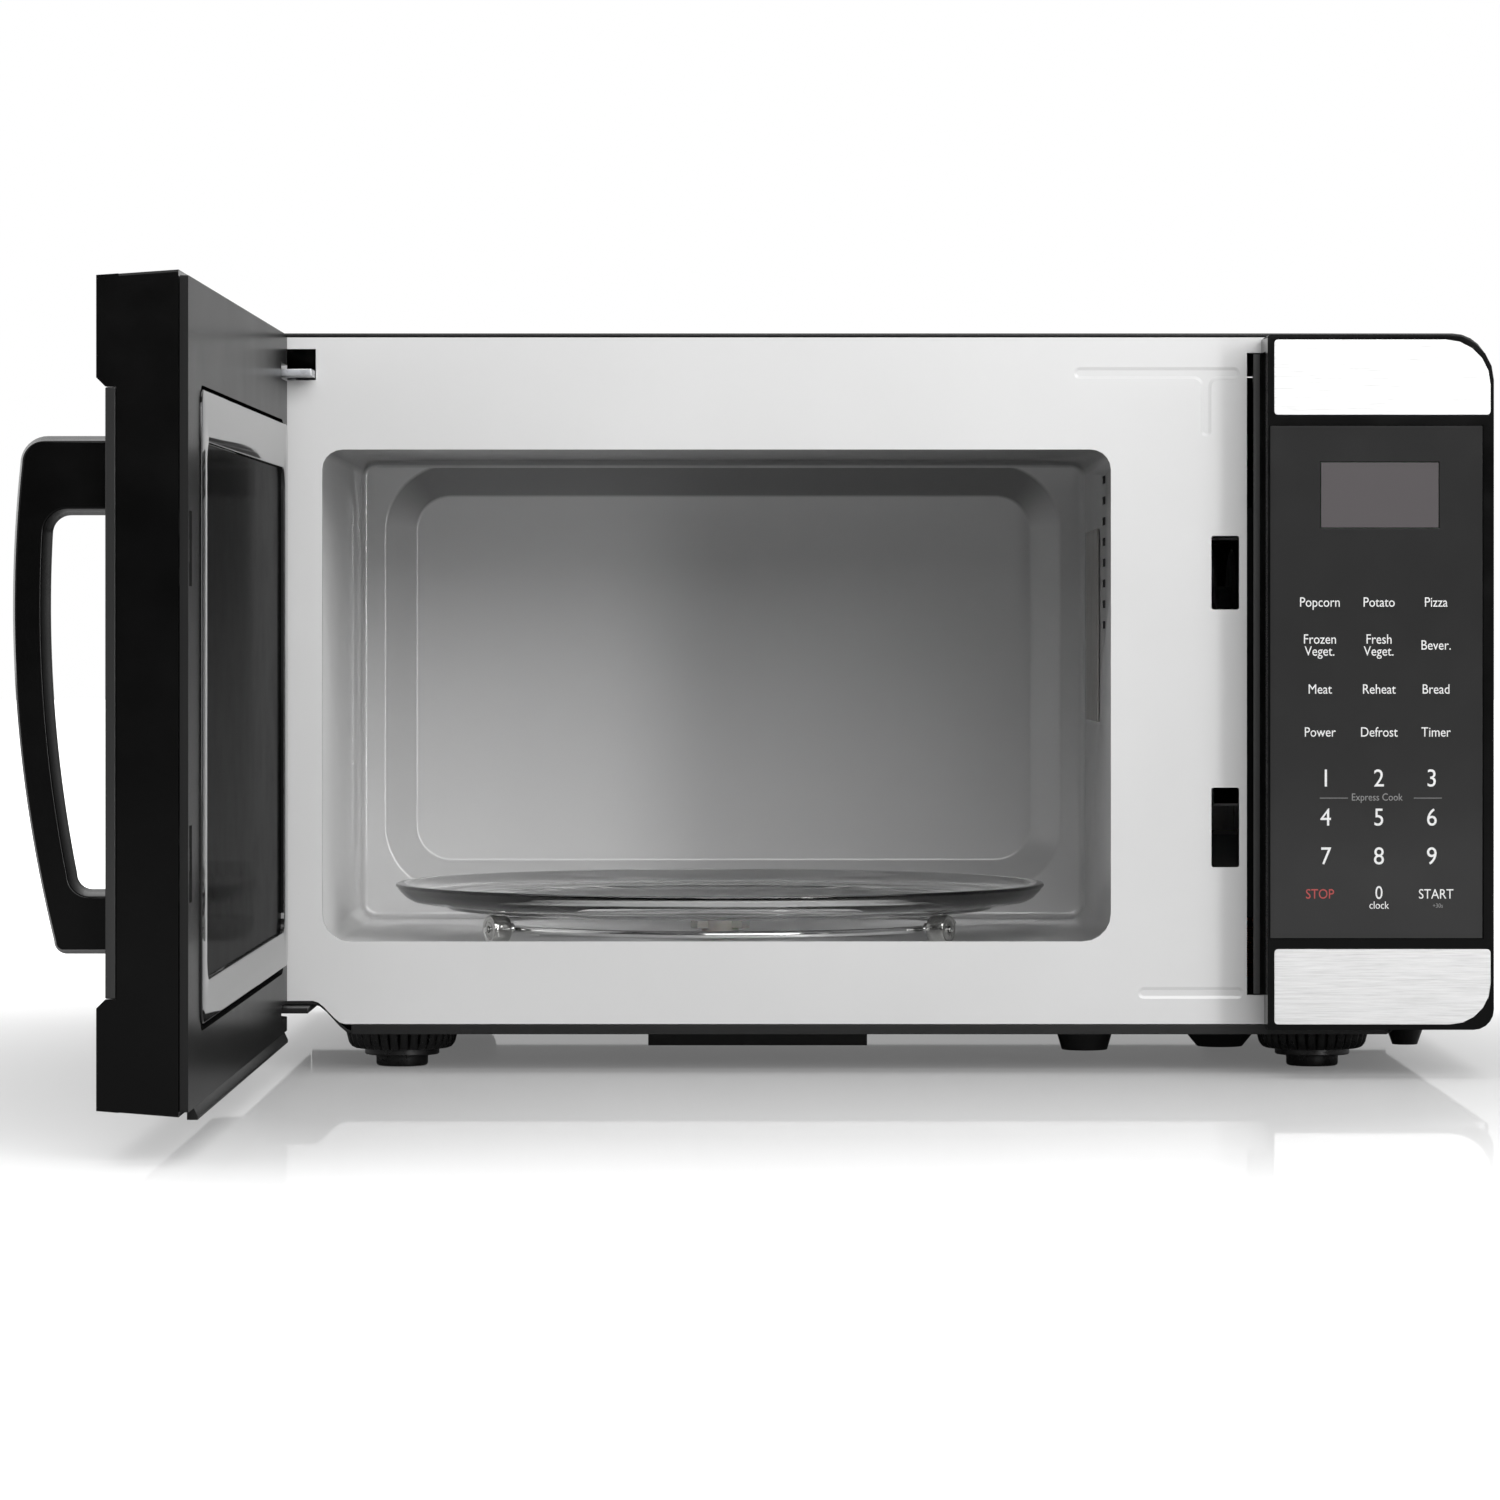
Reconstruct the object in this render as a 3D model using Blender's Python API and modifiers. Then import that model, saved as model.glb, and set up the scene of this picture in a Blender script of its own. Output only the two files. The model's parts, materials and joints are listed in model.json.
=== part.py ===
"""A countertop microwave oven, standing with its door open at a right angle.

Every length is in metres.  The parts are laid out in the oven's layout frame: X runs to the right from
the middle of the cabinet, Y runs backwards from the face of the front plate, Z runs up from the worktop.
The parent empty moves that frame, so that the world origin is under the middle of the open oven.
Door parts are laid out where they are with the door closed, and their parent empty swings them open.
"""

import math

import bmesh
import bpy
from mathutils import Matrix, Vector

NAME = "microwave_oven"

# Cabinet
CABINET_HALF_WIDTH = 0.2440
CABINET_DEPTH = 0.3710
CABINET_TOP = 0.2876
SHEET = 0.0010
GAP = 0.0003
CORNER = 0.0140
PLATE_BOTTOM = 0.0188
PLATE_TOP = 0.2860
BASE_BOTTOM = 0.0148
BASE_HALF_WIDTH = 0.2424
BASE_LEFT = 0.0264
BASE_RIGHT = 0.0185
BASE_STEP_X = (0.2045, 0.2100)
NOTCH_X = (-0.2134, -0.2010)

# Cooking cavity and the front plate's opening into it
CAVITY_X = (-0.2173, 0.1045)
CAVITY_Z = (0.0437, 0.2472)
CAVITY_BACK = 0.3310
CAVITY_FRONT = 0.0043
CAVITY_MIDDLE = (CAVITY_X[0] + CAVITY_X[1]) / 2
STAMP_HALF_WIDTH = 0.1510
STAMP_Z = (0.0550, 0.2462)
STAMP_CORNER = 0.0300
STAMP_SLOPE = 0.0150
STAMP_DEPTH = 0.0080
LAMP_SLOTS = 8
LAMP_SLOT_LOW = 0.1725
LAMP_SLOT_PITCH = 0.0087
LAMP_SLOT_HEIGHT = 0.0024
LAMP_SLOT_Y = (0.1730, 0.1870)
LAMP_CENTRE = (0.1240, 0.1800)
OPENING_X = (-0.2099, 0.0971)
OPENING_Z = (0.0509, 0.2424)
CHANNEL_X = (0.1500, 0.1580)
CHANNEL_Z = (0.0301, 0.2800)
LATCH_SLOT_X = (0.1362, 0.1470)
LATCH_SLOTS_Z = ((0.0798, 0.1108), (0.1801, 0.2088))

# Control panel
PANEL_X = (0.1555, 0.2424)
PANEL_Z = (0.0186, 0.2856)
PANEL_FRONT = -0.0310
TOUCH_X = (0.1565, 0.2381)
TOUCH_Z = (0.0534, 0.2509)
TRIM_X = (0.1581, 0.2411)
TRIM_TOP_Z = (0.2548, 0.2837)
TRIM_BOTTOM_Z = (0.0207, 0.0496)
DISPLAY_X = (0.1758, 0.2215)
DISPLAY_Z = (0.2112, 0.2368)

# Door, closed; its hinge line is DOOR_AXIS
DOOR_X = (-0.2440, 0.1538)
DOOR_Z = (0.0153, 0.2884)
DOOR_FRONT = -0.0308
DOOR_INNER = -0.0010
DOOR_AXIS = Vector((-0.2334, -0.0115, 0.0))
DOOR_OPEN = math.radians(90)
GLASS_FRONT = -0.0277
GLASS_BACK = -0.0244
# Each cap: its name, its edge on the glass, its outer edge, and how far that leans out towards the back
DOOR_CAPS = (("top_cap", 0.2507, 0.2866, 0.0005), ("bottom_cap", 0.0533, 0.0174, -0.0006))
CAP_FRONT = DOOR_FRONT + 0.0002
DOOR_TRIM_X = (-0.2418, 0.1516)
DOOR_TRIMS = (("door_trim_top", (0.2554, 0.2844)), ("door_trim_bottom", (0.0196, 0.0486)))
COVER_OUTER = -0.0038
CORNER_SWING = 0.0112
WINDOW_X = (-0.2265, 0.1143)
WINDOW_Z = (0.0400, 0.2530)
PANE_X = (-0.1890, 0.0875)
PANE_Z = (0.0560, 0.2350)
HINGE_TONGUE_Z = (0.2702, 0.2730)
LOWER_TONGUE_Z = (0.0240, 0.0261)
TONGUE_HALF_WIDTH = 0.0062
TONGUE_SWEEP = 0.0229
UPPER_POCKET_Z = (0.2686, 0.2748)
LOWER_POCKET_Z = (0.0222, 0.0276)
PIN_RADIUS = 0.0024
PIN_LENGTH = 0.0220
PIN_BORE = 0.0028
HANDLE_SCREW_X = 0.1325
HANDLE_SCREWS_Z = (0.0775, 0.2225)
HOOK_X = (0.1423, 0.1458)
HOOKS_Z = ((0.0880, 0.1040), (0.1880, 0.2040))
HOOK_SLOT_X = (0.1410, 0.1500)
HOOK_SLOTS_Z = ((0.0842, 0.1091), (0.1865, 0.2108))
HANDLE_X = (0.1215, 0.1435)
HANDLE_Z = (0.0669, 0.2354)
HANDLE_ARMS_Z = (0.0880, 0.2096)
HANDLE_REACH = 0.0324

# Turntable
TABLE_CENTRE = Vector((CAVITY_MIDDLE, 0.1650, 0.0))
TABLE_RADIUS = 0.1350
TABLE_UNDERSIDE = 0.0563
TABLE_RIM_TOP = 0.0672
ROLLER_RADIUS = 0.0060
ROLLER_TRACK = 0.1045
RING_RADIUS = 0.0970

# Component bay behind the control panel
FAN_CENTRE = Vector((0.1760, 0.3230, 0.1570))
FAN_RADIUS = 0.0520
FAN_BLADES = 5
MAGNETRON_CENTRE = Vector((0.1750, 0.2610, 0.1720))
GUIDE_X = (0.1058, 0.1400)
GUIDE_Y = (0.2050, 0.3060)
GUIDE_Z = (0.1250, 0.2220)
GLAND_PROUD = 0.0040
GLAND_BORE = 0.0040
GLAND_CENTRE = (0.2050, 0.0560)
FOOT_CENTRES = {
    "foot_front_left": (-0.1812, 0.0400),
    "foot_front_right": (0.1790, 0.0400),
    "foot_rear_left": (-0.1790, 0.3300),
    "foot_rear_right": (0.1790, 0.3300),
}

# The middle of the whole open oven in the layout frame, from its outermost faces
OPEN_LEFT = DOOR_AXIS.x + (GLASS_FRONT - HANDLE_REACH) - DOOR_AXIS.y
OPEN_FRONT = DOOR_AXIS.y - (DOOR_X[1] - DOOR_AXIS.x)
MIDDLE_X = (OPEN_LEFT + CABINET_HALF_WIDTH) / 2
MIDDLE_Y = (OPEN_FRONT + CABINET_DEPTH + GLAND_PROUD) / 2

COLOURS = {
    "black_paint": ((0.012, 0.012, 0.013), 0.35, 0.0),
    "grey_paint": ((0.62, 0.62, 0.62), 0.45, 0.0),
    "black_plastic": ((0.010, 0.010, 0.011), 0.30, 0.0),
    "dark_grey_plastic": ((0.050, 0.050, 0.052), 0.45, 0.0),
    "brushed_steel": ((0.72, 0.72, 0.72), 0.32, 1.0),
    "black_glass": ((0.030, 0.030, 0.032), 0.08, 0.0),
    "display_glass": ((0.110, 0.102, 0.106), 0.20, 0.0),
    "clear_glass": ((0.80, 0.84, 0.83), 0.05, 0.0),
    "chrome": ((0.80, 0.80, 0.82), 0.12, 1.0),
    "zinc_steel": ((0.55, 0.56, 0.57), 0.40, 1.0),
    "aluminium": ((0.70, 0.71, 0.72), 0.35, 1.0),
    "rubber": ((0.015, 0.015, 0.015), 0.70, 0.0),
    "white_plastic": ((0.75, 0.74, 0.70), 0.45, 0.0),
    "mica": ((0.48, 0.42, 0.33), 0.55, 0.0),
    "circuit_board": ((0.03, 0.16, 0.07), 0.50, 0.0),
    "iron_core": ((0.20, 0.21, 0.23), 0.50, 1.0),
    "copper_wire": ((0.55, 0.22, 0.09), 0.35, 1.0),
}


def clear_scene():
    for old in list(bpy.data.objects):
        bpy.data.objects.remove(old, do_unlink=True)


def new_collection(name):
    collection = bpy.data.collections.new(name)
    bpy.context.scene.collection.children.link(collection)
    return collection


def new_material(name):
    """A Principled BSDF material in the named finish."""
    colour, roughness, metallic = COLOURS[name]
    material = bpy.data.materials.new(name)
    material.use_nodes = True
    shader = material.node_tree.nodes["Principled BSDF"]
    shader.inputs["Base Color"].default_value = (*colour, 1.0)
    shader.inputs["Roughness"].default_value = roughness
    shader.inputs["Metallic"].default_value = metallic
    material.diffuse_color = (*colour, 1.0)
    return material


def new_frame(name, location, parent=None):
    """An empty that parts hang from.  Its location is in the layout frame."""
    frame = bpy.data.objects.new(name, None)
    frame.empty_display_size = 0.02
    frame.parent = parent
    frame.location = location
    PARTS.objects.link(frame)
    return frame


clear_scene()
PARTS = new_collection(NAME)
CUTTERS = new_collection(NAME + "_cutters")
MATERIALS = {name: new_material(name) for name in COLOURS}
CABINET = new_frame("cabinet_frame", (-MIDDLE_X, -MIDDLE_Y, 0.0))
DOOR = new_frame("door_axis", DOOR_AXIS, CABINET)
DOOR.rotation_euler.z = -DOOR_OPEN
TABLE = new_frame("turntable_axis", TABLE_CENTRE, CABINET)
FAN = new_frame("fan_axis", FAN_CENTRE, CABINET)


# Shapes.  Each function places its object in the layout frame, under the given parent empty.


def place(obj, location, parent, finish):
    """Hangs the object from the parent, and colours it.  With no finish it is a cutter."""
    obj.location = location
    obj.parent = parent
    if parent is not CABINET:
        obj.matrix_parent_inverse = Matrix.Translation(-Vector(parent.location))
    if finish is None:
        CUTTERS.objects.link(obj)
        obj.hide_render = True
        obj.display_type = "WIRE"
    else:
        PARTS.objects.link(obj)
        obj.data.materials.append(MATERIALS[finish])
    return obj


def box(name, low, high, finish=None, parent=CABINET):
    """A block between two corners."""
    size = Vector(high) - Vector(low)
    shape = bmesh.new()
    bmesh.ops.create_cube(shape, size=1.0, matrix=Matrix.Diagonal((*size, 1.0)))
    mesh = bpy.data.meshes.new(name)
    shape.to_mesh(mesh)
    shape.free()
    return place(bpy.data.objects.new(name, mesh), (Vector(low) + Vector(high)) / 2, parent, finish)


AXIS_TURN = {
    "X": (0.0, math.radians(90), 0.0),
    "Y": (math.radians(-90), 0.0, 0.0),
    "Z": (0.0, 0.0, 0.0),
}


def rod(name, centre, radius, length, axis, finish=None, parent=CABINET, sides=24, end_radius=None):
    """A cylinder, or a cone when end_radius is given, about its centre and along one axis."""
    shape = bmesh.new()
    far = radius if end_radius is None else end_radius
    bmesh.ops.create_cone(
        shape, cap_ends=True, segments=sides, radius1=radius, radius2=far, depth=length
    )
    mesh = bpy.data.meshes.new(name)
    shape.to_mesh(mesh)
    shape.free()
    obj = place(bpy.data.objects.new(name, mesh), centre, parent, finish)
    obj.rotation_euler = AXIS_TURN[axis]
    smooth(obj)
    return obj


def smooth(obj):
    obj.data.shade_smooth()
    obj.data.set_sharp_from_angle(angle=math.radians(35))


PRISM_TURN = {
    "X": (math.radians(90), 0.0, math.radians(90)),
    "Y": (math.radians(90), 0.0, 0.0),
    "Z": (0.0, 0.0, 0.0),
}


def prism(name, loops, axis, low, high, finish=None, parent=CABINET):
    """Flat outlines pushed along an axis.  Every loop after the first is a hole.

    A loop holds (x, z) points for axis Y, (y, z) for axis X, and (x, y) for axis Z.
    """
    curve = bpy.data.curves.new(name, "CURVE")
    curve.dimensions = "2D"
    curve.fill_mode = "BOTH"
    curve.extrude = (high - low) / 2
    for loop in loops:
        spline = curve.splines.new("POLY")
        spline.points.add(len(loop) - 1)
        for point, (across, up) in zip(spline.points, loop):
            point.co = (across, up, 0.0, 1.0)
        spline.use_cyclic_u = True
    outline = bpy.data.objects.new(name + "_outline", curve)
    CUTTERS.objects.link(outline)
    bpy.context.view_layer.update()
    graph = bpy.context.evaluated_depsgraph_get()
    mesh = bpy.data.meshes.new_from_object(outline.evaluated_get(graph))
    mesh.name = name
    bpy.data.objects.remove(outline, do_unlink=True)
    shape = bmesh.new()
    shape.from_mesh(mesh)
    bmesh.ops.remove_doubles(shape, verts=shape.verts, dist=1e-6)
    bmesh.ops.recalc_face_normals(shape, faces=shape.faces)
    shape.to_mesh(mesh)
    shape.free()
    mesh.materials.clear()
    location = [0.0, 0.0, 0.0]
    location["XYZ".index(axis)] = (low + high) / 2
    obj = place(bpy.data.objects.new(name, mesh), location, parent, finish)
    obj.rotation_euler = PRISM_TURN[axis]
    return obj


def turned(name, profile, centre, axis, finish=None, parent=CABINET, steps=32):
    """A turned solid.  The profile's (radius, height) points run down its outer side, top to bottom."""
    mesh = bpy.data.meshes.new(name)
    points = [(radius, 0.0, height) for radius, height in profile]
    edges = [(index, index + 1) for index in range(len(points) - 1)]
    if profile[0][0] > 0.0:
        edges.append((len(points) - 1, 0))
    mesh.from_pydata(points, edges, [])
    obj = place(bpy.data.objects.new(name, mesh), centre, parent, finish)
    obj.rotation_euler = AXIS_TURN[axis]
    screw = obj.modifiers.new("turn", "SCREW")
    screw.axis = "Z"
    screw.steps = steps
    screw.render_steps = steps
    screw.use_merge_vertices = True
    screw.merge_threshold = 0.00001
    screw.use_smooth_shade = True
    return obj


def cut(obj, *cutters):
    """Takes the cutters away from the object."""
    for cutter in cutters:
        change = obj.modifiers.new("cut " + cutter.name, "BOOLEAN")
        change.operation = "DIFFERENCE"
        change.object = cutter
    return obj


def add(obj, *pieces):
    """Joins further solids to the object.  They are helpers, so they get no finish."""
    for piece in pieces:
        change = obj.modifiers.new("join " + piece.name, "BOOLEAN")
        change.operation = "UNION"
        change.object = piece
    return obj


def arc(centre, radius, start, end, pieces=6):
    """Points along an arc, its angles in degrees."""
    points = []
    for step in range(pieces + 1):
        angle = math.radians(start + (end - start) * step / pieces)
        points.append((centre[0] + radius * math.cos(angle), centre[1] + radius * math.sin(angle)))
    return points


def rounded(across, up, radii, pieces=5):
    """A rectangle whose corners are rounded by radii, given from lower left, anticlockwise."""
    corners = ((across[0], up[0]), (across[1], up[0]), (across[1], up[1]), (across[0], up[1]))
    inward = ((1, 1), (-1, 1), (-1, -1), (1, -1))
    points = []
    for index, (corner, way, radius) in enumerate(zip(corners, inward, radii)):
        if radius == 0.0:
            points.append(corner)
            continue
        centre = (corner[0] + way[0] * radius, corner[1] + way[1] * radius)
        start = 180 + 90 * index
        points += arc(centre, radius, start, start + 90, pieces)
    return points


def rectangle(across, up):
    return rounded(across, up, (0.0, 0.0, 0.0, 0.0))


def middle(span):
    return (span[0] + span[1]) / 2


def grown(span, margin):
    return (span[0] - margin, span[1] + margin)


def around(centre, half):
    return (centre - half, centre + half)


def slot_row(name, loops, axis, low, high, parent=CABINET):
    """Cutters for a set of vents: one prism for each outline."""
    return [
        prism(f"{name}_{index}", [loop], axis, low, high, parent=parent)
        for index, loop in enumerate(loops, 1)
    ]


def s_curve(start, end, pieces=6):
    """Points of a smooth step between two points, flat at both ends."""
    points = []
    for step in range(pieces + 1):
        share = step / pieces
        rise = share * share * (3 - 2 * share)
        points.append((start[0] + (end[0] - start[0]) * share, start[1] + (end[1] - start[1]) * rise))
    return points


# Cabinet


def make_wrapper():
    """The painted top and sides, folded from one sheet, with vents low on the sides."""
    half = CABINET_HALF_WIDTH
    sheet = 0.0012
    low = 0.0195
    inner = CORNER - sheet
    right = (half - CORNER, CABINET_TOP - CORNER)
    left = (-half + CORNER, CABINET_TOP - CORNER)
    outline = [(half, low)]
    outline += arc(right, CORNER, 0, 90)
    outline += arc(left, CORNER, 90, 180)
    outline += [(-half, low), (-half + sheet, low)]
    outline += arc(left, inner, 180, 90)
    outline += arc(right, inner, 90, 0)
    outline.append((half - sheet, low))
    wrapper = prism("outer_wrapper", [outline], "Y", 0.0, CABINET_DEPTH - GAP, "black_paint")
    vents = [
        rectangle((0.2200 + 0.0120 * column, 0.2240 + 0.0120 * column), (0.0450, 0.0950))
        for column in range(10)
    ]
    cut(wrapper, *slot_row("side_vent", vents, "X", -half - 0.002, half + 0.002))


def base_outline(sheet):
    """The base's section: high at the left edge, down to the main level, and up again at the right."""
    lower = [(-BASE_HALF_WIDTH, BASE_LEFT)]
    lower += s_curve((NOTCH_X[0], BASE_LEFT), (NOTCH_X[1] + 0.003, BASE_BOTTOM))
    lower += s_curve((BASE_STEP_X[0], BASE_BOTTOM), (BASE_STEP_X[1], BASE_RIGHT))
    lower.append((BASE_HALF_WIDTH, BASE_RIGHT))
    upper = [(across, up + sheet) for across, up in reversed(lower)]
    return lower + upper


def make_base():
    """The bottom pan, with its pressed tray, the cups of its mountings and its front lip."""
    back = CABINET_DEPTH - SHEET - GAP
    base = prism("base_plate", [base_outline(0.0012)], "Y", 0.0014, back, "black_paint")
    lip = box("base_lip", (-0.1985, 0.0, BASE_BOTTOM), (BASE_STEP_X[0], 0.0030, PLATE_BOTTOM - GAP))
    level = BASE_BOTTOM + 0.0006
    tray = rod("base_tray", (-0.0405, 0.0800, (level + 0.0068) / 2), 0.0560, level - 0.0068, "Z", sides=4)
    tray.data.transform(Matrix.Rotation(math.radians(45), 4, "Z"))
    tray.scale = (1.1, 0.7, 1.0)
    cups = [
        rod("base_cup_1", (0.0889, 0.0400, (level + 0.0062) / 2), 0.0090, level - 0.0062, "Z",
            sides=20, end_radius=0.0117),
        rod("base_cup_2", (0.1430, 0.0480, (level + 0.0070) / 2), 0.0090, level - 0.0070, "Z",
            sides=20, end_radius=0.0160),
        rod("base_cup_3", (0.2170, 0.0520, (BASE_RIGHT + 0.0080) / 2), 0.0050, BASE_RIGHT - 0.0068, "Z",
            sides=20, end_radius=0.0092),
    ]
    add(base, lip, tray, *cups)
    vents = [
        rectangle((0.1200 + 0.0130 * column, 0.1245 + 0.0130 * column), (0.2150, 0.2550))
        for column in range(6)
    ]
    cut(base, *slot_row("base_vent", vents, "Z", 0.005, 0.020))


def make_rear_panel():
    """The back, with vents for the fan and the exhaust, and the hole of the cord's gland."""
    outline = rounded((-0.2424, 0.2424), (0.0172, PLATE_TOP), (0.0, 0.0, 0.0125, 0.0125))
    gland_hole = arc(GLAND_CENTRE, 0.0085, 0, 345, 23)
    panel = prism(
        "rear_panel",
        [outline, gland_hole],
        "Y",
        CABINET_DEPTH - SHEET,
        CABINET_DEPTH,
        "black_paint",
    )
    intake = [
        rectangle((0.1310 + 0.0170 * column, 0.1430 + 0.0170 * column), (up, up + 0.0040))
        for column in range(6)
        for up in (0.1210, 0.1370, 0.1530, 0.1690, 0.1850)
    ]
    exhaust = [
        rectangle((-0.1700 + 0.0240 * column, -0.1520 + 0.0240 * column), (up, up + 0.0040))
        for column in range(4)
        for up in (0.2100, 0.2220, 0.2340)
    ]
    low = CABINET_DEPTH - SHEET - 0.001
    cut(panel, *slot_row("rear_vent", intake + exhaust, "Y", low, CABINET_DEPTH + 0.001))


def make_front_plate():
    """The painted plate around the cavity's opening, with its slots, step and pressed ribs."""
    half = 0.2426
    raised = PLATE_BOTTOM + 0.0090
    outline = [(-half, raised)] + s_curve((NOTCH_X[0], raised), (NOTCH_X[1], PLATE_BOTTOM))
    outline += [(half, PLATE_BOTTOM)]
    outline += arc((half - 0.0125, PLATE_TOP - 0.0125), 0.0125, 0, 90)
    outline += arc((-half + 0.0125, PLATE_TOP - 0.0125), 0.0125, 90, 180)
    opening = rounded(OPENING_X, OPENING_Z, (0.0109, 0.0109, 0.0078, 0.0078))
    holes = [opening]
    holes += [rounded(LATCH_SLOT_X, up, (0.0008,) * 4, 2) for up in LATCH_SLOTS_Z]
    holes.append(rectangle((-0.2236, -0.2123), (0.2694, 0.2815)))
    holes.append(rectangle(CHANNEL_X, CHANNEL_Z))
    plate = prism("front_plate", [outline] + holes, "Y", 0.0, SHEET, "grey_paint")
    rim = 0.0012
    rim_x = (OPENING_X[0] - rim, OPENING_X[1] + rim)
    rim_z = (OPENING_Z[0] - rim, OPENING_Z[1] + rim)
    flange = prism(
        "opening_flange",
        [rounded(rim_x, rim_z, (0.0121, 0.0121, 0.0090, 0.0090)), opening],
        "Y",
        SHEET / 2,
        0.0040,
    )
    add(plate, flange)
    tee = tee_groove((0.0823, 0.1477), (0.2694, 0.2748), (0.1317, 0.1366), 0.2470)
    bar = rounded((0.1072, 0.1492), (0.0282, 0.0336), (0.0026,) * 4, 4)
    for index, loop in enumerate((tee, bar), 1):
        # The sheet bulges backwards as deep as it is pressed in.
        add(plate, prism(f"groove_back_{index}", [loop], "Y", SHEET / 2, SHEET + 0.0004))
        cut(plate, prism(f"groove_{index}", [shrunk(loop, 0.0004)], "Y", -0.0010, 0.0007))


def tee_groove(across, up, stem, bottom):
    """A T: a bar with round ends, and a stem that runs down from it with filleted corners."""
    end = 0.0026
    tip = 0.0024
    fillet = 0.0026
    # The bar is a hair deeper on the stem's right, so that its two lower edges aren't in one line.
    right = up[0] - 0.0001
    points = arc((across[0] + end, up[0] + end), end, 180, 270, 4)
    points += arc((stem[0] - fillet, up[0] - fillet), fillet, 90, 0, 4)
    points += arc((stem[0] + tip, bottom + tip), tip, 180, 270, 4)
    points += arc((stem[1] - tip, bottom + tip), tip, 270, 360, 4)
    points += arc((stem[1] + fillet, right - fillet), fillet, 180, 90, 4)
    points += arc((across[1] - end, right + end), end, 270, 360, 4)
    points += arc((across[1] - end, up[1] - end), end, 0, 90, 4)
    points += arc((across[0] + end, up[1] - end), end, 90, 180, 4)
    return points


def shrunk(loop, margin):
    """An anticlockwise outline moved inwards by a margin, each point along the middle of its corner."""
    points = []
    for before, point, after in zip(loop[-1:] + loop[:-1], loop, loop[1:] + loop[:1]):
        arriving = (Vector(point) - Vector(before)).normalized()
        leaving = (Vector(after) - Vector(point)).normalized()
        way = arriving + leaving
        points.append(tuple(Vector(point) + Vector((-way.y, way.x)).normalized() * margin))
    return points


def stamped_block(name, inset, depth, start):
    """The stamped panel of the back wall as a block that narrows backwards, with smaller corners there."""
    across = (CAVITY_MIDDLE - STAMP_HALF_WIDTH + inset, CAVITY_MIDDLE + STAMP_HALF_WIDTH - inset)
    up = (STAMP_Z[0] + inset, STAMP_Z[1] - inset)
    radius = STAMP_CORNER - inset
    block = prism(name, [rounded(across, up, (radius,) * 4, 6)], "Y", start, start + depth)
    centre = Vector((middle(across), middle(up)))
    corner = Vector((across[1] - centre.x - radius, up[1] - centre.y - radius))
    for vertex in block.data.vertices:
        # Local Z runs forwards, so the far face is the one below zero.
        if vertex.co.z < 0.0:
            offset = vertex.co.xy - centre
            pivot = Vector((math.copysign(corner.x, offset.x), math.copysign(corner.y, offset.y)))
            vertex.co.xy = centre + pivot + (offset - pivot) * (1 - STAMP_SLOPE / radius)
    return block


def make_cavity():
    """The cooking cavity: an open sheet box with a stamped back wall and its holes."""
    past = 0.0005
    outer_low = (CAVITY_X[0] - SHEET, CAVITY_FRONT, CAVITY_Z[0] - SHEET)
    outer_high = (CAVITY_X[1] + SHEET, CAVITY_BACK + SHEET, CAVITY_Z[1] + SHEET)
    cavity = box("cavity_liner", outer_low, outer_high, "grey_paint")
    add(cavity, stamped_block("stamp_outside", -SHEET, STAMP_DEPTH + past, CAVITY_BACK))
    hollow_low = (CAVITY_X[0], CAVITY_FRONT - 0.002, CAVITY_Z[0])
    hollow_high = (CAVITY_X[1], CAVITY_BACK, CAVITY_Z[1])
    wall = (CAVITY_X[1] - 0.003, CAVITY_X[1] + 0.003)
    cut(
        cavity,
        box("cavity_hollow", hollow_low, hollow_high),
        stamped_block("stamp_inside", 0.0, STAMP_DEPTH, CAVITY_BACK - past),
        rod("shaft_hole", (TABLE_CENTRE.x, TABLE_CENTRE.y, CAVITY_Z[0]), 0.0062, 0.010, "Z"),
        box("guide_hole", (wall[0], 0.2230, 0.1430), (wall[1], 0.2900, 0.2050)),
    )
    for index in range(LAMP_SLOTS):
        low = LAMP_SLOT_LOW + LAMP_SLOT_PITCH * index
        slot = rounded(LAMP_SLOT_Y, (low, low + LAMP_SLOT_HEIGHT), (LAMP_SLOT_HEIGHT / 2.1,) * 4, 3)
        cut(cavity, prism(f"lamp_slot_{index}", [slot], "X", *wall))


def make_feet():
    """Four moulded feet: a conical skirt, a disc, and the pad that stands on the worktop."""
    top = BASE_BOTTOM - GAP
    profile = [
        (0.0, top), (0.0217, top), (0.0200, 0.0100), (0.0180, 0.0070), (0.0147, 0.0070),
        (0.0147, 0.0045), (0.0100, 0.0045), (0.0100, 0.0), (0.0, 0.0),
    ]
    for name, (across, back) in FOOT_CENTRES.items():
        turned(name, profile, (across, back, 0.0), "Z", "rubber", steps=24)


def make_hinge_brackets():
    """The steel tongues that carry the door's pins, one through the plate's slot and one below it."""
    axis = (DOOR_AXIS.x, DOOR_AXIS.y)
    pin_hole = arc(axis, PIN_BORE, 0, 345, 23)
    half = TONGUE_HALF_WIDTH
    tip = arc(axis, half, 90, 270, 8)
    front = DOOR_AXIS.y - half
    upper = tip + [(-0.2126, front), (-0.2126, 0.0400), (-0.2233, 0.0400), (-0.2233, DOOR_AXIS.y + half)]
    bracket = prism("upper_hinge_bracket", [upper, pin_hole], "Z", *HINGE_TONGUE_Z, "zinc_steel")
    foot = box("upper_hinge_leg", (-0.2233, 0.0013, 0.2498), (-0.2203, 0.0400, HINGE_TONGUE_Z[1]))
    add(bracket, foot)
    lower = tip + [(-0.2140, front), (-0.2140, 0.0500), (-0.2396, 0.0500), (-0.2396, DOOR_AXIS.y)]
    prism("lower_hinge_bracket", [lower, pin_hole], "Z", *LOWER_TONGUE_Z, "black_paint")


# Control panel


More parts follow.
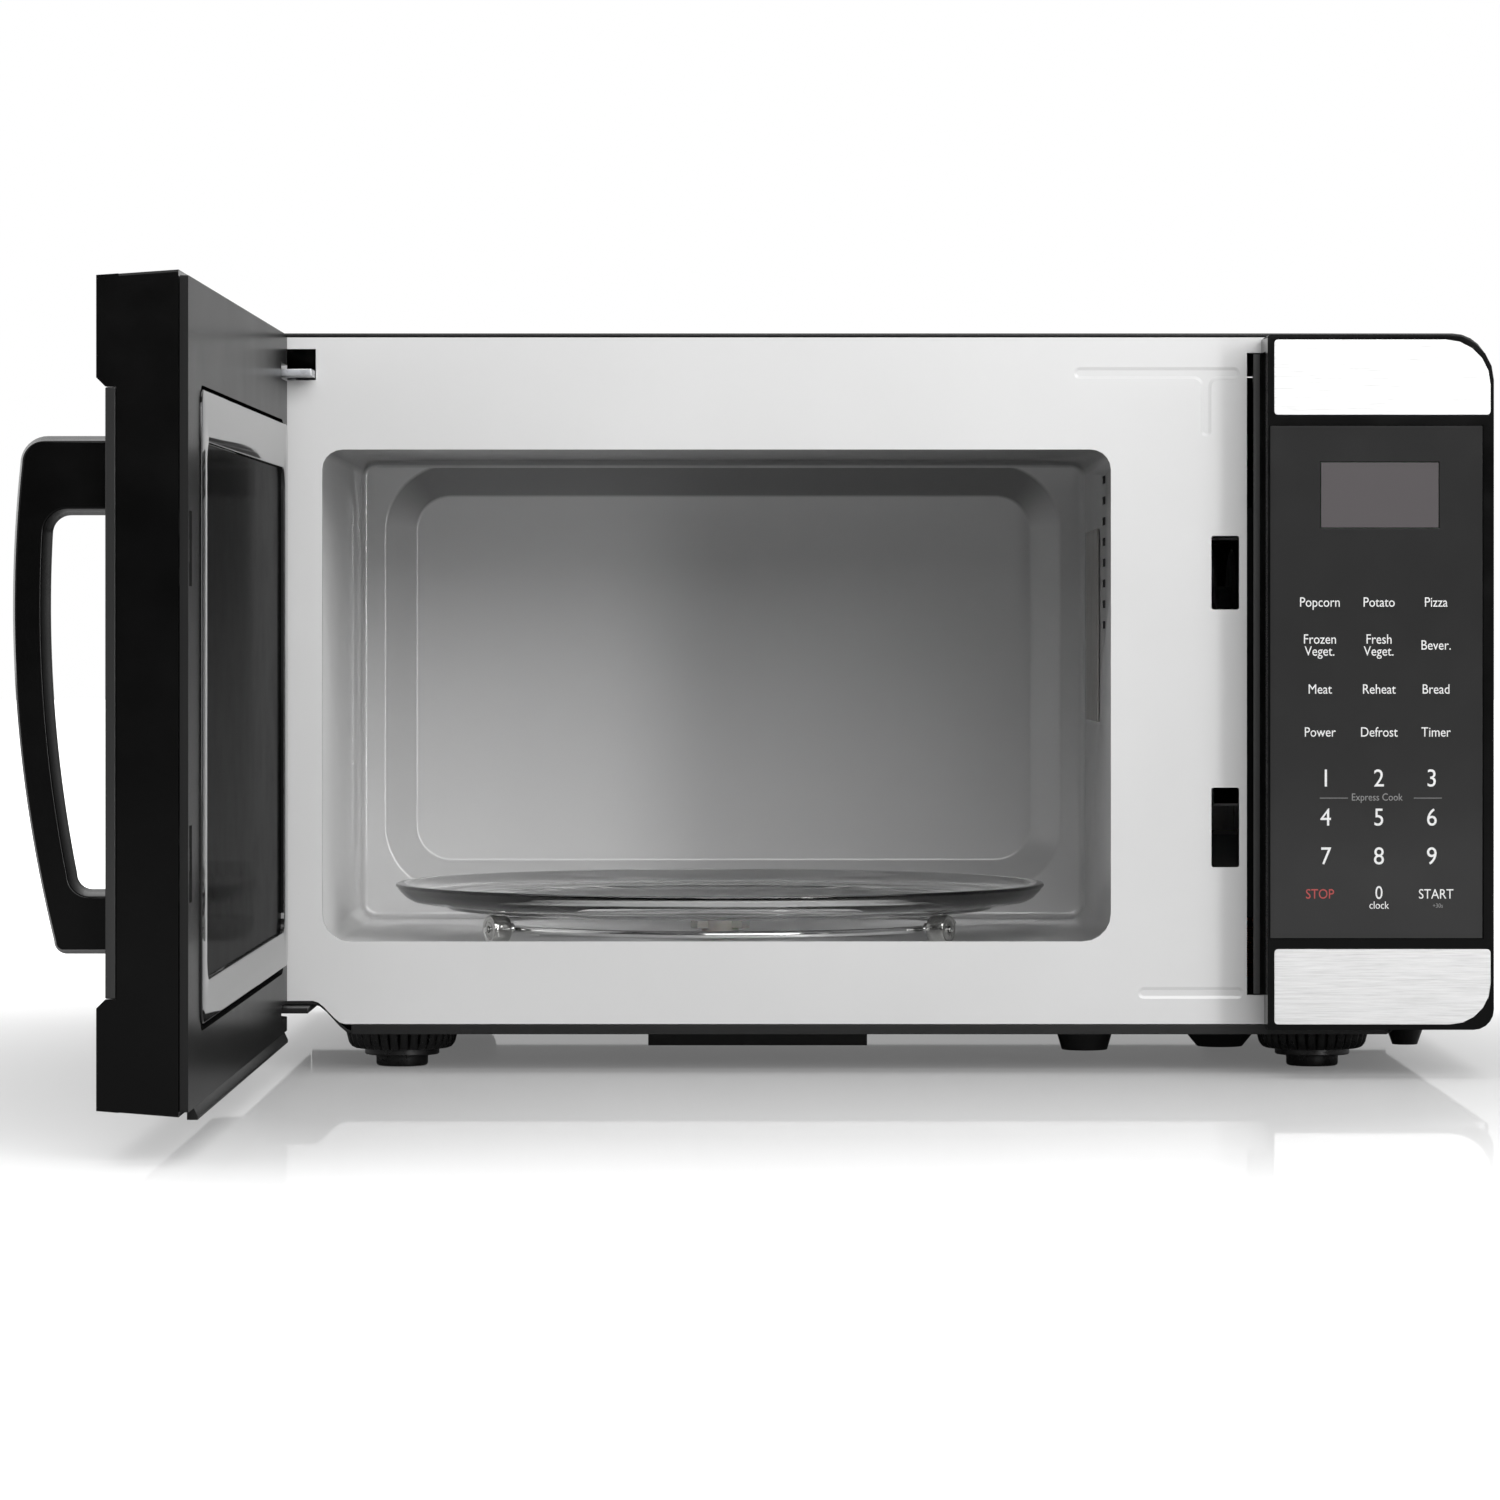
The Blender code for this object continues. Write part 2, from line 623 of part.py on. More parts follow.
def panel_outline(inset):
    across = (PANEL_X[0] + inset, PANEL_X[1] - inset)
    up = (PANEL_Z[0] + inset, PANEL_Z[1] - inset)
    return rounded(across, up, (0.0, 0.0078 - inset, 0.0175 - inset, 0.0012))


def make_panel_housing():
    """The moulded housing: an open-backed shell with its seats, and a tongue in the plate's channel."""
    front = PANEL_FRONT + 0.0002
    housing = prism("panel_housing", [panel_outline(0.0)], "Y", front, -GAP, "black_plastic")
    wall = 0.0025
    ahead = PANEL_FRONT - 0.001
    seat = PANEL_FRONT + 0.0016
    tongue_low = (CHANNEL_X[0] + 0.0024, -0.0007, CHANNEL_Z[0] + GAP)
    tongue_high = (CHANNEL_X[1] - GAP, 0.0030, CHANNEL_Z[1] - GAP)
    touch_low = (TOUCH_X[0] - GAP, ahead, TOUCH_Z[0])
    touch_high = (TOUCH_X[1] + GAP, seat + 0.0012, TOUCH_Z[1])
    cut(
        housing,
        prism("housing_hollow", [panel_outline(wall)], "Y", front + 0.0044, 0.002),
        prism("trim_top_seat", [trim_outline(TRIM_TOP_Z, -GAP, True)], "Y", ahead, seat),
        prism("trim_bottom_seat", [trim_outline(TRIM_BOTTOM_Z, -GAP, False)], "Y", ahead, seat),
        box("touch_seat", touch_low, touch_high),
        box("side_channel", (PANEL_X[0] - 0.001, -0.0220, 0.0150), (PANEL_X[0] + 0.0012, 0.001, 0.2795)),
        box("display_hole", (DISPLAY_X[0], ahead, DISPLAY_Z[0]), (DISPLAY_X[1], -0.020, DISPLAY_Z[1])),
    )
    add(housing, box("tongue", tongue_low, tongue_high))


def trim_outline(up, inset, top):
    across = (TRIM_X[0] + inset, TRIM_X[1] - inset)
    up = (up[0] + inset, up[1] - inset)
    small = 0.0014 - inset
    if top:
        return rounded(across, up, (small, small, 0.0172 - inset, small))
    return rounded(across, up, (small, 0.0155 - inset, small, small))


def make_panel_trims():
    """The two brushed strips at the top and the bottom of the control panel."""
    back = PANEL_FRONT + 0.0013
    trims = (("panel_trim_top", TRIM_TOP_Z, True), ("panel_trim_bottom", TRIM_BOTTOM_Z, False))
    for name, up, top in trims:
        prism(name, [trim_outline(up, 0.0, top)], "Y", PANEL_FRONT, back, "brushed_steel")


def make_touch_panel():
    """The flat touch panel, and the display window let into it."""
    front = PANEL_FRONT + 0.0008
    back = PANEL_FRONT + 0.0025
    up = (TOUCH_Z[0] + GAP, TOUCH_Z[1] - GAP)
    window = rectangle(DISPLAY_X, DISPLAY_Z)
    prism("touch_panel", [rectangle(TOUCH_X, up), window], "Y", front, back, "black_glass")
    lens_x = (DISPLAY_X[0] + GAP, DISPLAY_X[1] - GAP)
    lens_z = (DISPLAY_Z[0] + GAP, DISPLAY_Z[1] - GAP)
    prism("display_window", [rectangle(lens_x, lens_z)], "Y", front, back + 0.0012, "display_glass")


def make_control_board():
    """The circuit board behind the touch panel, with its display, relays, transformer and buzzer."""
    board = box("control_board", (0.1640, -0.0180, 0.0620), (0.2340, -0.0164, 0.2440), "circuit_board")
    front = -0.0165
    tall = -0.0020
    short = -0.0045
    add(
        board,
        box("display_module", (0.1720, -0.0250, 0.2070), (0.2250, -0.0175, 0.2400)),
        box("relay_1", (0.1700, front, 0.0700), (0.1860, tall, 0.0880)),
        box("relay_2", (0.1900, front, 0.0700), (0.2060, tall, 0.0880)),
        box("small_transformer", (0.1750, front, 0.1050), (0.2100, tall, 0.1350)),
        rod("buzzer", (0.2180, middle((front, short)), 0.0800), 0.0060, short - front, "Y", sides=16),
        rod("smoothing", (0.1800, middle((front, short)), 0.1600), 0.0050, short - front, "Y", sides=16),
    )


# Door


def swing_corner():
    """What is cut from the hinge-side edge, so that it clears the front plate as the door swings."""
    arc_start = math.degrees(math.acos((DOOR_X[0] - DOOR_AXIS.x) / CORNER_SWING))
    centre = (DOOR_AXIS.x, DOOR_AXIS.y)
    outline = arc(centre, CORNER_SWING, arc_start, 90, 8)
    outline += [(DOOR_AXIS.x, 0.0040), (DOOR_X[0] - 0.0030, 0.0040)]
    outline.append((DOOR_X[0] - 0.0030, outline[0][1]))
    return outline


def hinge_pocket(name, up):
    """The slit in the door's hinge-side corner that the hinge tongue turns in."""
    low = (DOOR_X[0] - 0.0010, -0.0200, up[0])
    return box(name, low, (DOOR_AXIS.x + TONGUE_SWEEP, 0.0010, up[1]), parent=DOOR)


def make_door_frame():
    """The moulded outer frame, with its side walls and the seats of the trims and the glass."""
    frame_back = COVER_OUTER - GAP
    outline = rounded(DOOR_X, DOOR_Z, (0.0008,) * 4, 1)
    window = rounded((-0.2190, 0.1280), (0.0400, 0.2620), (0.0060,) * 4, 3)
    frame = prism(
        "door_frame", [outline, window], "Y", GLASS_BACK + GAP, frame_back, "black_plastic", DOOR
    )
    for vertex in frame.data.vertices:
        # The outer walls lean in towards the front, which is up in the mesh's own frame.
        if vertex.co.z > 0.0 and vertex.co.y > 0.2800:
            vertex.co.y -= 0.0014
        if vertex.co.z > 0.0 and vertex.co.y < 0.0250:
            vertex.co.y += 0.0016
    for name, glass_edge, edge, lean in DOOR_CAPS:
        # Each cap is chamfered where it meets the glass, and its outer edge leans as the frame's does.
        back = GLASS_BACK + 0.0010
        chamfer = math.copysign(CAP_FRONT - GLASS_FRONT, edge - glass_edge)
        end = [
            (back, glass_edge), (GLASS_FRONT, glass_edge), (CAP_FRONT, glass_edge + chamfer),
            (CAP_FRONT, edge), (back, edge + lean),
        ]
        add(frame, prism(name, [end], "X", *DOOR_X, parent=DOOR))
    for name, up in DOOR_TRIMS:
        seat = rounded(grown(DOOR_TRIM_X, GAP), grown(up, GAP), (0.0018,) * 4, 2)
        depth = (DOOR_FRONT - 0.001, DOOR_FRONT + 0.0016)
        cut(frame, prism(name + "_seat", [seat], "Y", *depth, parent=DOOR))
    bay_low = (HOOK_SLOT_X[0] - 0.0010, GLASS_BACK + 0.0030, 0.0790)
    bay_high = (HOOK_SLOT_X[1], 0.001, 0.2150)
    cut(
        frame,
        prism("frame_corner", [swing_corner()], "Z", -0.01, 0.30, parent=DOOR),
        hinge_pocket("upper_pocket", UPPER_POCKET_Z),
        hinge_pocket("lower_pocket", LOWER_POCKET_Z),
        box("hook_bay", bay_low, bay_high, parent=DOOR),
    )
    for name, up in (("upper_bore", UPPER_POCKET_Z), ("lower_bore", LOWER_POCKET_Z)):
        centre = (DOOR_AXIS.x, DOOR_AXIS.y, middle(up))
        cut(frame, rod(name, centre, PIN_BORE, PIN_LENGTH + 0.0016, "Z", parent=DOOR))
    for index, up in enumerate(HANDLE_SCREWS_Z, 1):
        centre = (HANDLE_SCREW_X, GLASS_BACK, up)
        cut(frame, rod(f"screw_hole_{index}", centre, 0.0022, 0.060, "Y", parent=DOOR, sides=12))


def make_door_trims():
    """The two brushed strips, let into the caps at the door's top and bottom."""
    back = DOOR_FRONT + 0.0013
    for name, up in DOOR_TRIMS:
        strip = rounded(DOOR_TRIM_X, up, (0.0015,) * 4, 2)
        prism(name, [strip], "Y", DOOR_FRONT, back, "brushed_steel", DOOR)


def make_door_glass():
    """The outer pane, with clearance holes for the handle's screws."""
    up = (DOOR_CAPS[1][1] + GAP, DOOR_CAPS[0][1] - GAP)
    holes = [arc((HANDLE_SCREW_X, up_hole), 0.0030, 0, 330, 11) for up_hole in HANDLE_SCREWS_Z]
    prism("door_glass", [rectangle(DOOR_X, up)] + holes, "Y", GLASS_FRONT, GLASS_BACK, "black_glass", DOOR)


def make_inner_panel():
    """The steel inner panel, dished in the middle for the window, with its choke flange behind it."""
    back = DOOR_INNER - 0.0005
    across = (WINDOW_X[0] + 0.0080, WINDOW_X[1] - 0.0030)
    up = (WINDOW_Z[0] + 0.0030, WINDOW_Z[1] - 0.0030)
    panel = prism("door_inner_panel", [rounded(across, up, (0.0060,) * 4, 4)], "Y",
                  back - 0.0120, back, "black_paint", DOOR)
    dish_x = grown(PANE_X, 0.0030)
    dish_z = grown(PANE_Z, 0.0030)
    dish = rounded(dish_x, dish_z, (0.0120,) * 4, 5)
    wall = 0.0015
    choke = rounded(grown(across, -wall), grown(up, -wall), (0.0050,) * 4, 3)
    well = rounded(grown(dish_x, wall), grown(dish_z, wall), (0.0130,) * 4, 5)
    cut(
        panel,
        prism("panel_dish", [dish], "Y", back - 0.0050, back + 0.001, parent=DOOR),
        prism("panel_choke", [choke, well], "Y", back - 0.0130, back - 0.0012, parent=DOOR),
        prism("panel_well", [dish], "Y", back - 0.0130, back - 0.0062, parent=DOOR),
    )


def make_window_pane():
    """The dark pane that covers the window from the inside."""
    front = DOOR_INNER - 0.0052
    pane = rounded(PANE_X, PANE_Z, (0.0100,) * 4, 5)
    prism("window_pane", [pane], "Y", front, front + 0.0020, "black_glass", DOOR)


def make_choke_cover():
    """The moulded frame around the inner panel, with its bottom lip and the slots of the hooks."""
    outline = rounded((DOOR_X[0] + 0.0012, DOOR_X[1] - 0.0006), (0.0168, 0.2866), (0.0012,) * 4, 2)
    window = rounded((WINDOW_X[0] + 0.0050, WINDOW_X[1]), WINDOW_Z, (0.0080,) * 4, 4)
    slots = [rectangle(HOOK_SLOT_X, up) for up in HOOK_SLOTS_Z]
    cover = prism(
        "choke_cover", [outline, window] + slots, "Y", COVER_OUTER, DOOR_INNER, "dark_grey_plastic", DOOR
    )
    lip_side = [
        (COVER_OUTER, 0.0125), (-GAP, 0.0125), (-GAP, 0.0137), (-0.0022, 0.0176), (COVER_OUTER, 0.0176),
    ]
    add(cover, prism("cover_lip", [lip_side], "X", DOOR_AXIS.x + 0.0005, 0.1290, parent=DOOR))
    cut(
        cover,
        prism("cover_corner", [swing_corner()], "Z", -0.01, 0.30, parent=DOOR),
        hinge_pocket("cover_upper_pocket", UPPER_POCKET_Z),
        hinge_pocket("cover_lower_pocket", LOWER_POCKET_Z),
    )


def bow(reach, up):
    """Where the handle's bow stands at a height, out from the glass: it falls away below its crest."""
    crest = 0.1800
    fall = 1.13
    return GLASS_FRONT - reach + fall * (up - crest) ** 2


def bow_edge(reach, start, end, pieces):
    """Points along the bow between two heights, without the two ends."""
    heights = [start + (end - start) * step / pieces for step in range(1, pieces)]
    return [(bow(reach, height), height) for height in heights]


def bow_corner(reach, up, radius, turn, pieces):
    """A rounded corner that meets the bow at its own end: it turns from one angle to another."""
    return arc((bow(reach, up) + radius, up), radius, *turn, pieces)


def make_handle():
    """The bow handle: two arms and a bar that bulges outwards, seen from the side."""
    foot = GLASS_FRONT - GAP
    inner_reach = 0.0200
    corner = 0.0080
    low_corner = 0.0042
    small_top = 0.0060
    small_low = 0.0050
    low, high = HANDLE_Z
    outer = (low + low_corner, high - corner)
    inner = (HANDLE_ARMS_Z[0] + small_low, HANDLE_ARMS_Z[1] - small_top)
    outline = [(foot, low)]
    outline += bow_corner(HANDLE_REACH, outer[0], low_corner, (270, 180), 5)
    outline += bow_edge(HANDLE_REACH, outer[0], outer[1], 12)
    outline += bow_corner(HANDLE_REACH, outer[1], corner, (180, 90), 5)
    outline += [(foot, high), (foot, HANDLE_ARMS_Z[1])]
    outline += bow_corner(inner_reach, inner[1], small_top, (90, 180), 4)
    outline += bow_edge(inner_reach, inner[1], inner[0], 9)
    outline += bow_corner(inner_reach, inner[0], small_low, (180, 270), 4)
    outline.append((foot, HANDLE_ARMS_Z[0]))
    handle = prism("door_handle", [outline], "X", *HANDLE_X, "black_plastic", DOOR)
    soften = handle.modifiers.new("soften", "BEVEL")
    soften.width = 0.0016
    soften.segments = 1
    soften.limit_method = "ANGLE"
    soften.angle_limit = math.radians(60)


def make_latch_hooks():
    """The latch: a bar in the door's free edge with two hooks, drawn back behind their slots."""
    tip = DOOR_INNER - 0.0005
    bar = box("latch_hooks", (HOOK_X[0], GLASS_BACK + 0.0036, 0.0800), (HOOK_X[1], -0.0170, 0.2120),
              "black_plastic", DOOR)
    for index, (low, high) in enumerate(HOOKS_Z, 1):
        side = [(-0.0175, low), (tip - 0.0060, low), (tip, low + 0.0060), (tip, high - 0.0020),
                (tip - 0.0050, high), (tip - 0.0085, high - 0.0050), (-0.0175, high - 0.0050)]
        add(bar, prism(f"hook_{index}", [side], "X", *HOOK_X, parent=DOOR))


def make_hinge_pins():
    axis = (DOOR_AXIS.x, DOOR_AXIS.y)
    rod("upper_hinge_pin", (*axis, middle(UPPER_POCKET_Z)), PIN_RADIUS, PIN_LENGTH, "Z", "zinc_steel", DOOR)
    rod("lower_hinge_pin", (*axis, middle(LOWER_POCKET_Z)), PIN_RADIUS, PIN_LENGTH, "Z", "zinc_steel", DOOR)


# Turntable


def make_turntable_drive():
    """The motor under the cavity floor, its shaft, and the coupler that turns the plate."""
    centre = (TABLE_CENTRE.x, TABLE_CENTRE.y)
    motor = rod("turntable_motor", (*centre, 0.0300), 0.0245, 0.0150, "Z", "zinc_steel")
    ear = box("motor_ears", (centre[0] - 0.0340, centre[1] - 0.0060, 0.0362),
              (centre[0] + 0.0340, centre[1] + 0.0060, 0.0374))
    add(motor, ear)
    cut(motor, rod("motor_bore", (*centre, 0.0350), 0.0040, 0.0100, "Z", sides=16))
    rod("motor_shaft", (*centre, 0.0415), 0.0034, 0.0190, "Z", "white_plastic", TABLE, sides=16)
    coupler = rod("drive_coupler", (*centre, 0.0500), 0.0078, 0.0112, "Z", "white_plastic", TABLE)
    add(coupler, *[coupler_arm(index) for index in range(3)])
    cut(coupler, rod("coupler_bore", (*centre, 0.0475), 0.0037, 0.0080, "Z", parent=TABLE, sides=16))


def coupler_arm(index):
    """One of the coupler's three arms."""
    arm = box(f"coupler_arm_{index}", (0.0, -0.0028, 0.0480), (0.0125, 0.0028, 0.0550), parent=TABLE)
    turn = Matrix.Rotation(math.radians(90 + 120 * index), 4, "Z")
    arm.data.transform(turn @ Matrix.Translation((0.00625, 0.0, 0.0)))
    arm.location = (TABLE_CENTRE.x, TABLE_CENTRE.y, 0.0515)
    return arm


def make_turntable():
    """The glass plate: a flat middle, a sloping border and a stepped rim."""
    low = TABLE_UNDERSIDE
    profile = [
        (0.0, low + 0.0042), (0.1080, low + 0.0042), (0.1180, low + 0.0062), (0.1262, low + 0.0070),
        (0.1312, TABLE_RIM_TOP - 0.0004), (0.1338, TABLE_RIM_TOP), (TABLE_RADIUS, TABLE_RIM_TOP - 0.0014),
        (0.1342, low + 0.0060), (0.1290, low + 0.0026), (0.1195, low + 0.0020), (0.1100, low), (0.0, low),
    ]
    turned("glass_turntable", profile, TABLE_CENTRE, "Z", "clear_glass", TABLE, steps=48)


def make_roller_ring():
    """The wire ring with three stub axles, and the roller on each."""
    height = CAVITY_Z[0] + GAP + ROLLER_RADIUS
    wire = 0.0014
    section = [(RING_RADIUS + x, height + z) for x, z in arc((0.0, 0.0), wire, 90, -210, 5)]
    ring = turned("roller_ring", section, TABLE_CENTRE, "Z", "chrome", TABLE, steps=40)
    for index, angle in enumerate((90, 210, 330), 1):
        turn = Matrix.Rotation(math.radians(angle), 4, "Z")
        along = Vector((TABLE_CENTRE.x, TABLE_CENTRE.y, height))
        stub = rod(f"stub_axle_{index}", along, 0.0011, 0.0135, "Z", parent=TABLE, sides=10)
        reach = Matrix.Translation((RING_RADIUS + 0.0062, 0.0, 0.0))
        lie = Matrix.Rotation(math.radians(90), 4, "Y")
        stub.data.transform(turn @ reach @ lie)
        add(ring, stub)
        hub = new_frame(f"roller_{index}_axis", (0.0, 0.0, 0.0), TABLE)
        hub.location = turn @ Vector((ROLLER_TRACK, 0.0, 0.0)) + Vector((0.0, 0.0, height))
        origin = (0.0, 0.0, 0.0)
        roller = turned(f"roller_{index}", roller_profile(), origin, "Z", "chrome", hub, steps=20)
        roller.matrix_parent_inverse = Matrix.Identity(4)
        roller.rotation_euler = (turn @ lie).to_euler()


def roller_profile():
    half = 0.0040
    bore = 0.0015
    chamfer = 0.0006
    return [
        (bore, half), (ROLLER_RADIUS - chamfer, half), (ROLLER_RADIUS, half - chamfer),
        (ROLLER_RADIUS, -half + chamfer), (ROLLER_RADIUS - chamfer, -half), (bore, -half),
    ]


# Component bay


def make_interlock():
    """The latch bracket behind the plate's slots, and its three door switches."""
    face = [rectangle((0.1320, 0.1498), (0.0600, 0.2200))]
    face += [rectangle((0.1355, 0.1478), (low - 0.001, high + 0.001)) for low, high in LATCH_SLOTS_Z]
    bracket = prism("interlock_bracket", face, "Y", 0.0044, 0.0072, "black_plastic")
    add(
        bracket,
        box("bracket_wall", (0.1500, 0.0044, 0.0600), (0.1526, 0.0460, 0.2200)),
        box("bracket_joint", (0.1490, 0.0046, 0.0602), (0.1510, 0.0070, 0.2198)),
    )
    switches = {"switch_primary": 0.1620, "switch_monitor": 0.1120, "switch_secondary": 0.0630}
    for name, low in switches.items():
        body = box(name, (0.1385, 0.0100, low), (0.1496, 0.0380, low + 0.0130), "black_plastic")
        add(body, box(name + "_button", (0.1424, 0.0150, low + 0.0120), (0.1450, 0.0180, low + 0.0150)))


def make_waveguide():
    """The duct on the cavity's right wall, the magnetron's hole in it, and the cover inside."""
    low, high = zip(GUIDE_X, GUIDE_Y, GUIDE_Z)
    guide = box("waveguide", low, high, "zinc_steel")
    inner_low = (GUIDE_X[0] - 0.001, GUIDE_Y[0] + SHEET, GUIDE_Z[0] + SHEET)
    inner_high = (GUIDE_X[1] - SHEET, GUIDE_Y[1] - SHEET, GUIDE_Z[1] - SHEET)
    centre = (GUIDE_X[1], MAGNETRON_CENTRE.y, MAGNETRON_CENTRE.z)
    cut(
        guide,
        box("guide_hollow", inner_low, inner_high),
        rod("antenna_hole", centre, 0.0140, 0.010, "X"),
    )
    inside = CAVITY_X[1] - GAP
    box("waveguide_cover", (inside - 0.0008, 0.2120, 0.1330), (inside, 0.3010, 0.2150), "mica")


def make_magnetron():
    """The magnetron: its yoke, the finned anode with the antenna, and the filter box."""
    core = MAGNETRON_CENTRE
    plate = 0.0015
    yoke_x = (GUIDE_X[1] + GAP, core.x + 0.0340)
    across = (yoke_x[0] + plate, yoke_x[1] - plate)
    up = (core.z - 0.0410, core.z + 0.0410)
    loops = [rectangle(yoke_x, up), rectangle(across, (up[0] + plate, up[1] - plate))]
    yoke = prism("magnetron_yoke", loops, "Y", core.y - 0.0360, core.y + 0.0360, "zinc_steel")
    cut(yoke, rod("yoke_holes", core, 0.0110, 0.100, "X"))
    profile = [(0.0, -0.0500), (0.0070, -0.0500), (0.0078, -0.0480), (0.0078, -0.0360), (0.0100, -0.0300)]
    fin_pitch = 0.0088
    barrel = 0.0190
    fin_radius = 0.0350
    for fin in range(5):
        start = -0.0200 + fin_pitch * fin
        end = start + 0.0010
        profile += [(barrel, start), (fin_radius, start), (fin_radius, end), (barrel, end)]
    profile += [(0.0090, 0.0250), (0.0090, 0.0370), (0.0, 0.0370)]
    downwards = [(radius, height) for radius, height in reversed(profile)]
    turned("magnetron_anode", downwards, core, "X", "aluminium", steps=20)
    low = (yoke_x[1] + GAP + 0.0035, core.y - 0.0250, core.z - 0.0250)
    box("magnetron_filter_box", low, (low[0] + 0.0250, core.y + 0.0250, core.z + 0.0250), "zinc_steel")
    cutout = (core.x, core.y, up[1] + GAP + 0.0030)
    rod("thermal_cutout", cutout, 0.0080, 0.0060, "Z", "black_plastic", sides=16)


def make_fan():
    """The cooling fan: its shroud, its motor, and the shaft and blades that turn."""
    hub = FAN_CENTRE
    frame_half = 0.0620
    motor_half = 0.0280
    across = (hub.x - frame_half, hub.x + frame_half)
    up = (hub.z - frame_half, hub.z + frame_half)
    loops = [rectangle(across, up), arc((hub.x, hub.z), FAN_RADIUS + 0.0030, 0, 352.5, 47)]
    prism("fan_shroud", loops, "Y", hub.y - 0.0100, hub.y + 0.0130, "black_plastic")
    motor = box("fan_motor", (hub.x - motor_half, hub.y + 0.0180, hub.z - motor_half),
                (hub.x + motor_half, hub.y + 0.0440, hub.z + motor_half), "iron_core")
    cut(motor, rod("motor_shaft_bore", (hub.x, hub.y + 0.0240, hub.z), 0.0026, 0.030, "Y", sides=16))
    rod("fan_shaft", (hub.x, hub.y + 0.0130, hub.z), 0.0020, 0.0460, "Y", "zinc_steel", FAN, sides=16)
    blade = rod("fan_blade", hub, 0.0130, 0.0140, "Y", "white_plastic", FAN)
    add(blade, *[fan_vane(index) for index in range(FAN_BLADES)])
    cut(blade, rod("blade_bore", hub, 0.0023, 0.030, "Y", parent=FAN, sides=16))


def fan_vane(index):
    """One blade: a thin slab, pitched and turned to its place."""
    vane = box(f"fan_vane_{index}", (0.0, -0.0006, -0.0160), (0.0400, 0.0006, 0.0160), parent=FAN)
    pitch = Matrix.Rotation(math.radians(22), 4, "X")
    turn = Matrix.Rotation(math.radians(360 * index / FAN_BLADES), 4, "Y")
    vane.data.transform(turn @ Matrix.Translation((0.0310, 0.0, 0.0)) @ pitch)
    vane.location = FAN_CENTRE
    return vane


def make_transformer():
    """The high-voltage transformer: an iron core with two windings on its middle limb."""
    centre = 0.1605
    back = (0.1200, 0.1700)
    outer = rectangle(around(centre, 0.0430), (0.0165, 0.0885))
    windows = [rectangle(around(centre + side, 0.0090), (0.0305, 0.0745)) for side in (-0.0200, 0.0200)]
    prism("transformer_core", [outer] + windows, "Y", *back, "iron_core")
    limb = rectangle(around(centre, 0.0110 + GAP), grown(back, GAP))
    turns = rounded(around(centre, 0.0286), grown(back, 0.0140), (0.0080,) * 4, 3)
    prism("primary_winding", [turns, limb], "Z", 0.0310, 0.0510, "copper_wire")
    prism("secondary_winding", [turns, limb], "Z", 0.0540, 0.0740, "copper_wire")


def make_high_voltage_parts():
    """The capacitor, an oval can with two tabs, and the diode beside it."""
    across = (0.1400, 0.1920)
    back = (0.2620, 0.2940)
    oval = rounded(across, back, (0.0159,) * 4, 6)
    can = prism("capacitor", [oval], "Z", 0.0166, 0.0960, "aluminium")
    for index, tab in enumerate((0.1550, 0.1770), 1):
        add(can, box(f"capacitor_tab_{index}", (tab - 0.003, 0.2776, 0.0950), (tab + 0.003, 0.2784, 0.1040)))
    rod("hv_diode", (0.2060, 0.2800, 0.0250), 0.0040, 0.0220, "Y", "black_plastic", sides=16)


def make_lamp():
    """The oven lamp behind the wall's column of holes, and its socket."""
    bulb = [
        (0.0, 0.2300), (0.0060, 0.2290), (0.0100, 0.2240), (0.0110, 0.2180), (0.0100, 0.2110),
        (0.0072, 0.2040), (0.0066, 0.1965), (0.0, 0.1965),
    ]
    turned("lamp_bulb", bulb, (*LAMP_CENTRE, 0.0), "Z", "clear_glass", steps=16)
    box("lamp_socket", (0.1062, 0.1690, 0.1760), (0.1350, 0.1910, 0.1962), "white_plastic")


def make_noise_filter():
    """The mains filter's board, with its fuse and choke."""
    board = box("noise_filter_board", (0.1500, 0.2900, 0.2440), (0.2300, 0.3600, 0.2456), "circuit_board")
    add(
        board,
        rod("fuse", (0.1900, 0.3000, 0.2490), 0.0040, 0.0300, "X", sides=12),
        rod("filter_choke", (0.1750, 0.3350, 0.2520), 0.0120, 0.0140, "Z", sides=16),
        box("filter_capacitor", (0.2000, 0.3250, 0.2450), (0.2200, 0.3450, 0.2620)),
    )


def make_cord_gland():
    """The gland in the back that a power cord would come out of."""
    centre = (GLAND_CENTRE[0], 0.0, GLAND_CENTRE[1])
    back = CABINET_DEPTH
    proud = back + GLAND_PROUD
    neck = 0.0081
    inside = back - SHEET - GAP
    profile = [
        (GLAND_BORE, proud), (0.0110, proud), (0.0120, back + GAP), (neck, back + GAP), (neck, inside),
        (0.0100, inside), (0.0100, inside - 0.0047), (GLAND_BORE, inside - 0.0047),
    ]
    turned("cord_gland", profile, centre, "Y", "rubber", steps=24)


def build():
    make_wrapper()
    make_base()
    make_rear_panel()
    make_front_plate()
    make_cavity()
    make_feet()
    make_hinge_brackets()
    make_panel_housing()
    make_panel_trims()
    make_touch_panel()
    make_control_board()
    make_door_frame()
    make_door_trims()
    make_door_glass()
    make_inner_panel()
    make_window_pane()
    make_choke_cover()
    make_handle()
    make_latch_hooks()
    make_hinge_pins()
    make_turntable_drive()
    make_turntable()
    make_roller_ring()
    make_interlock()
    make_waveguide()
    make_magnetron()
    make_fan()
    make_transformer()
    make_high_voltage_parts()
    make_lamp()
    make_noise_filter()
    make_cord_gland()


build()
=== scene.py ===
"""Looks of the open microwave oven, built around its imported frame.

Everything is in metres in the frame's own axes: +X right, +Y from the front of the oven to its back, +Z up.
Sizes and places come from the frame's nodes.  New pieces stand for the nodes whose surface has to be finer
than the frame's, and every other node keeps its shape and gets softened edges and a finish.
"""

import json
import math

import bmesh
import bpy
from mathutils import Matrix, Vector


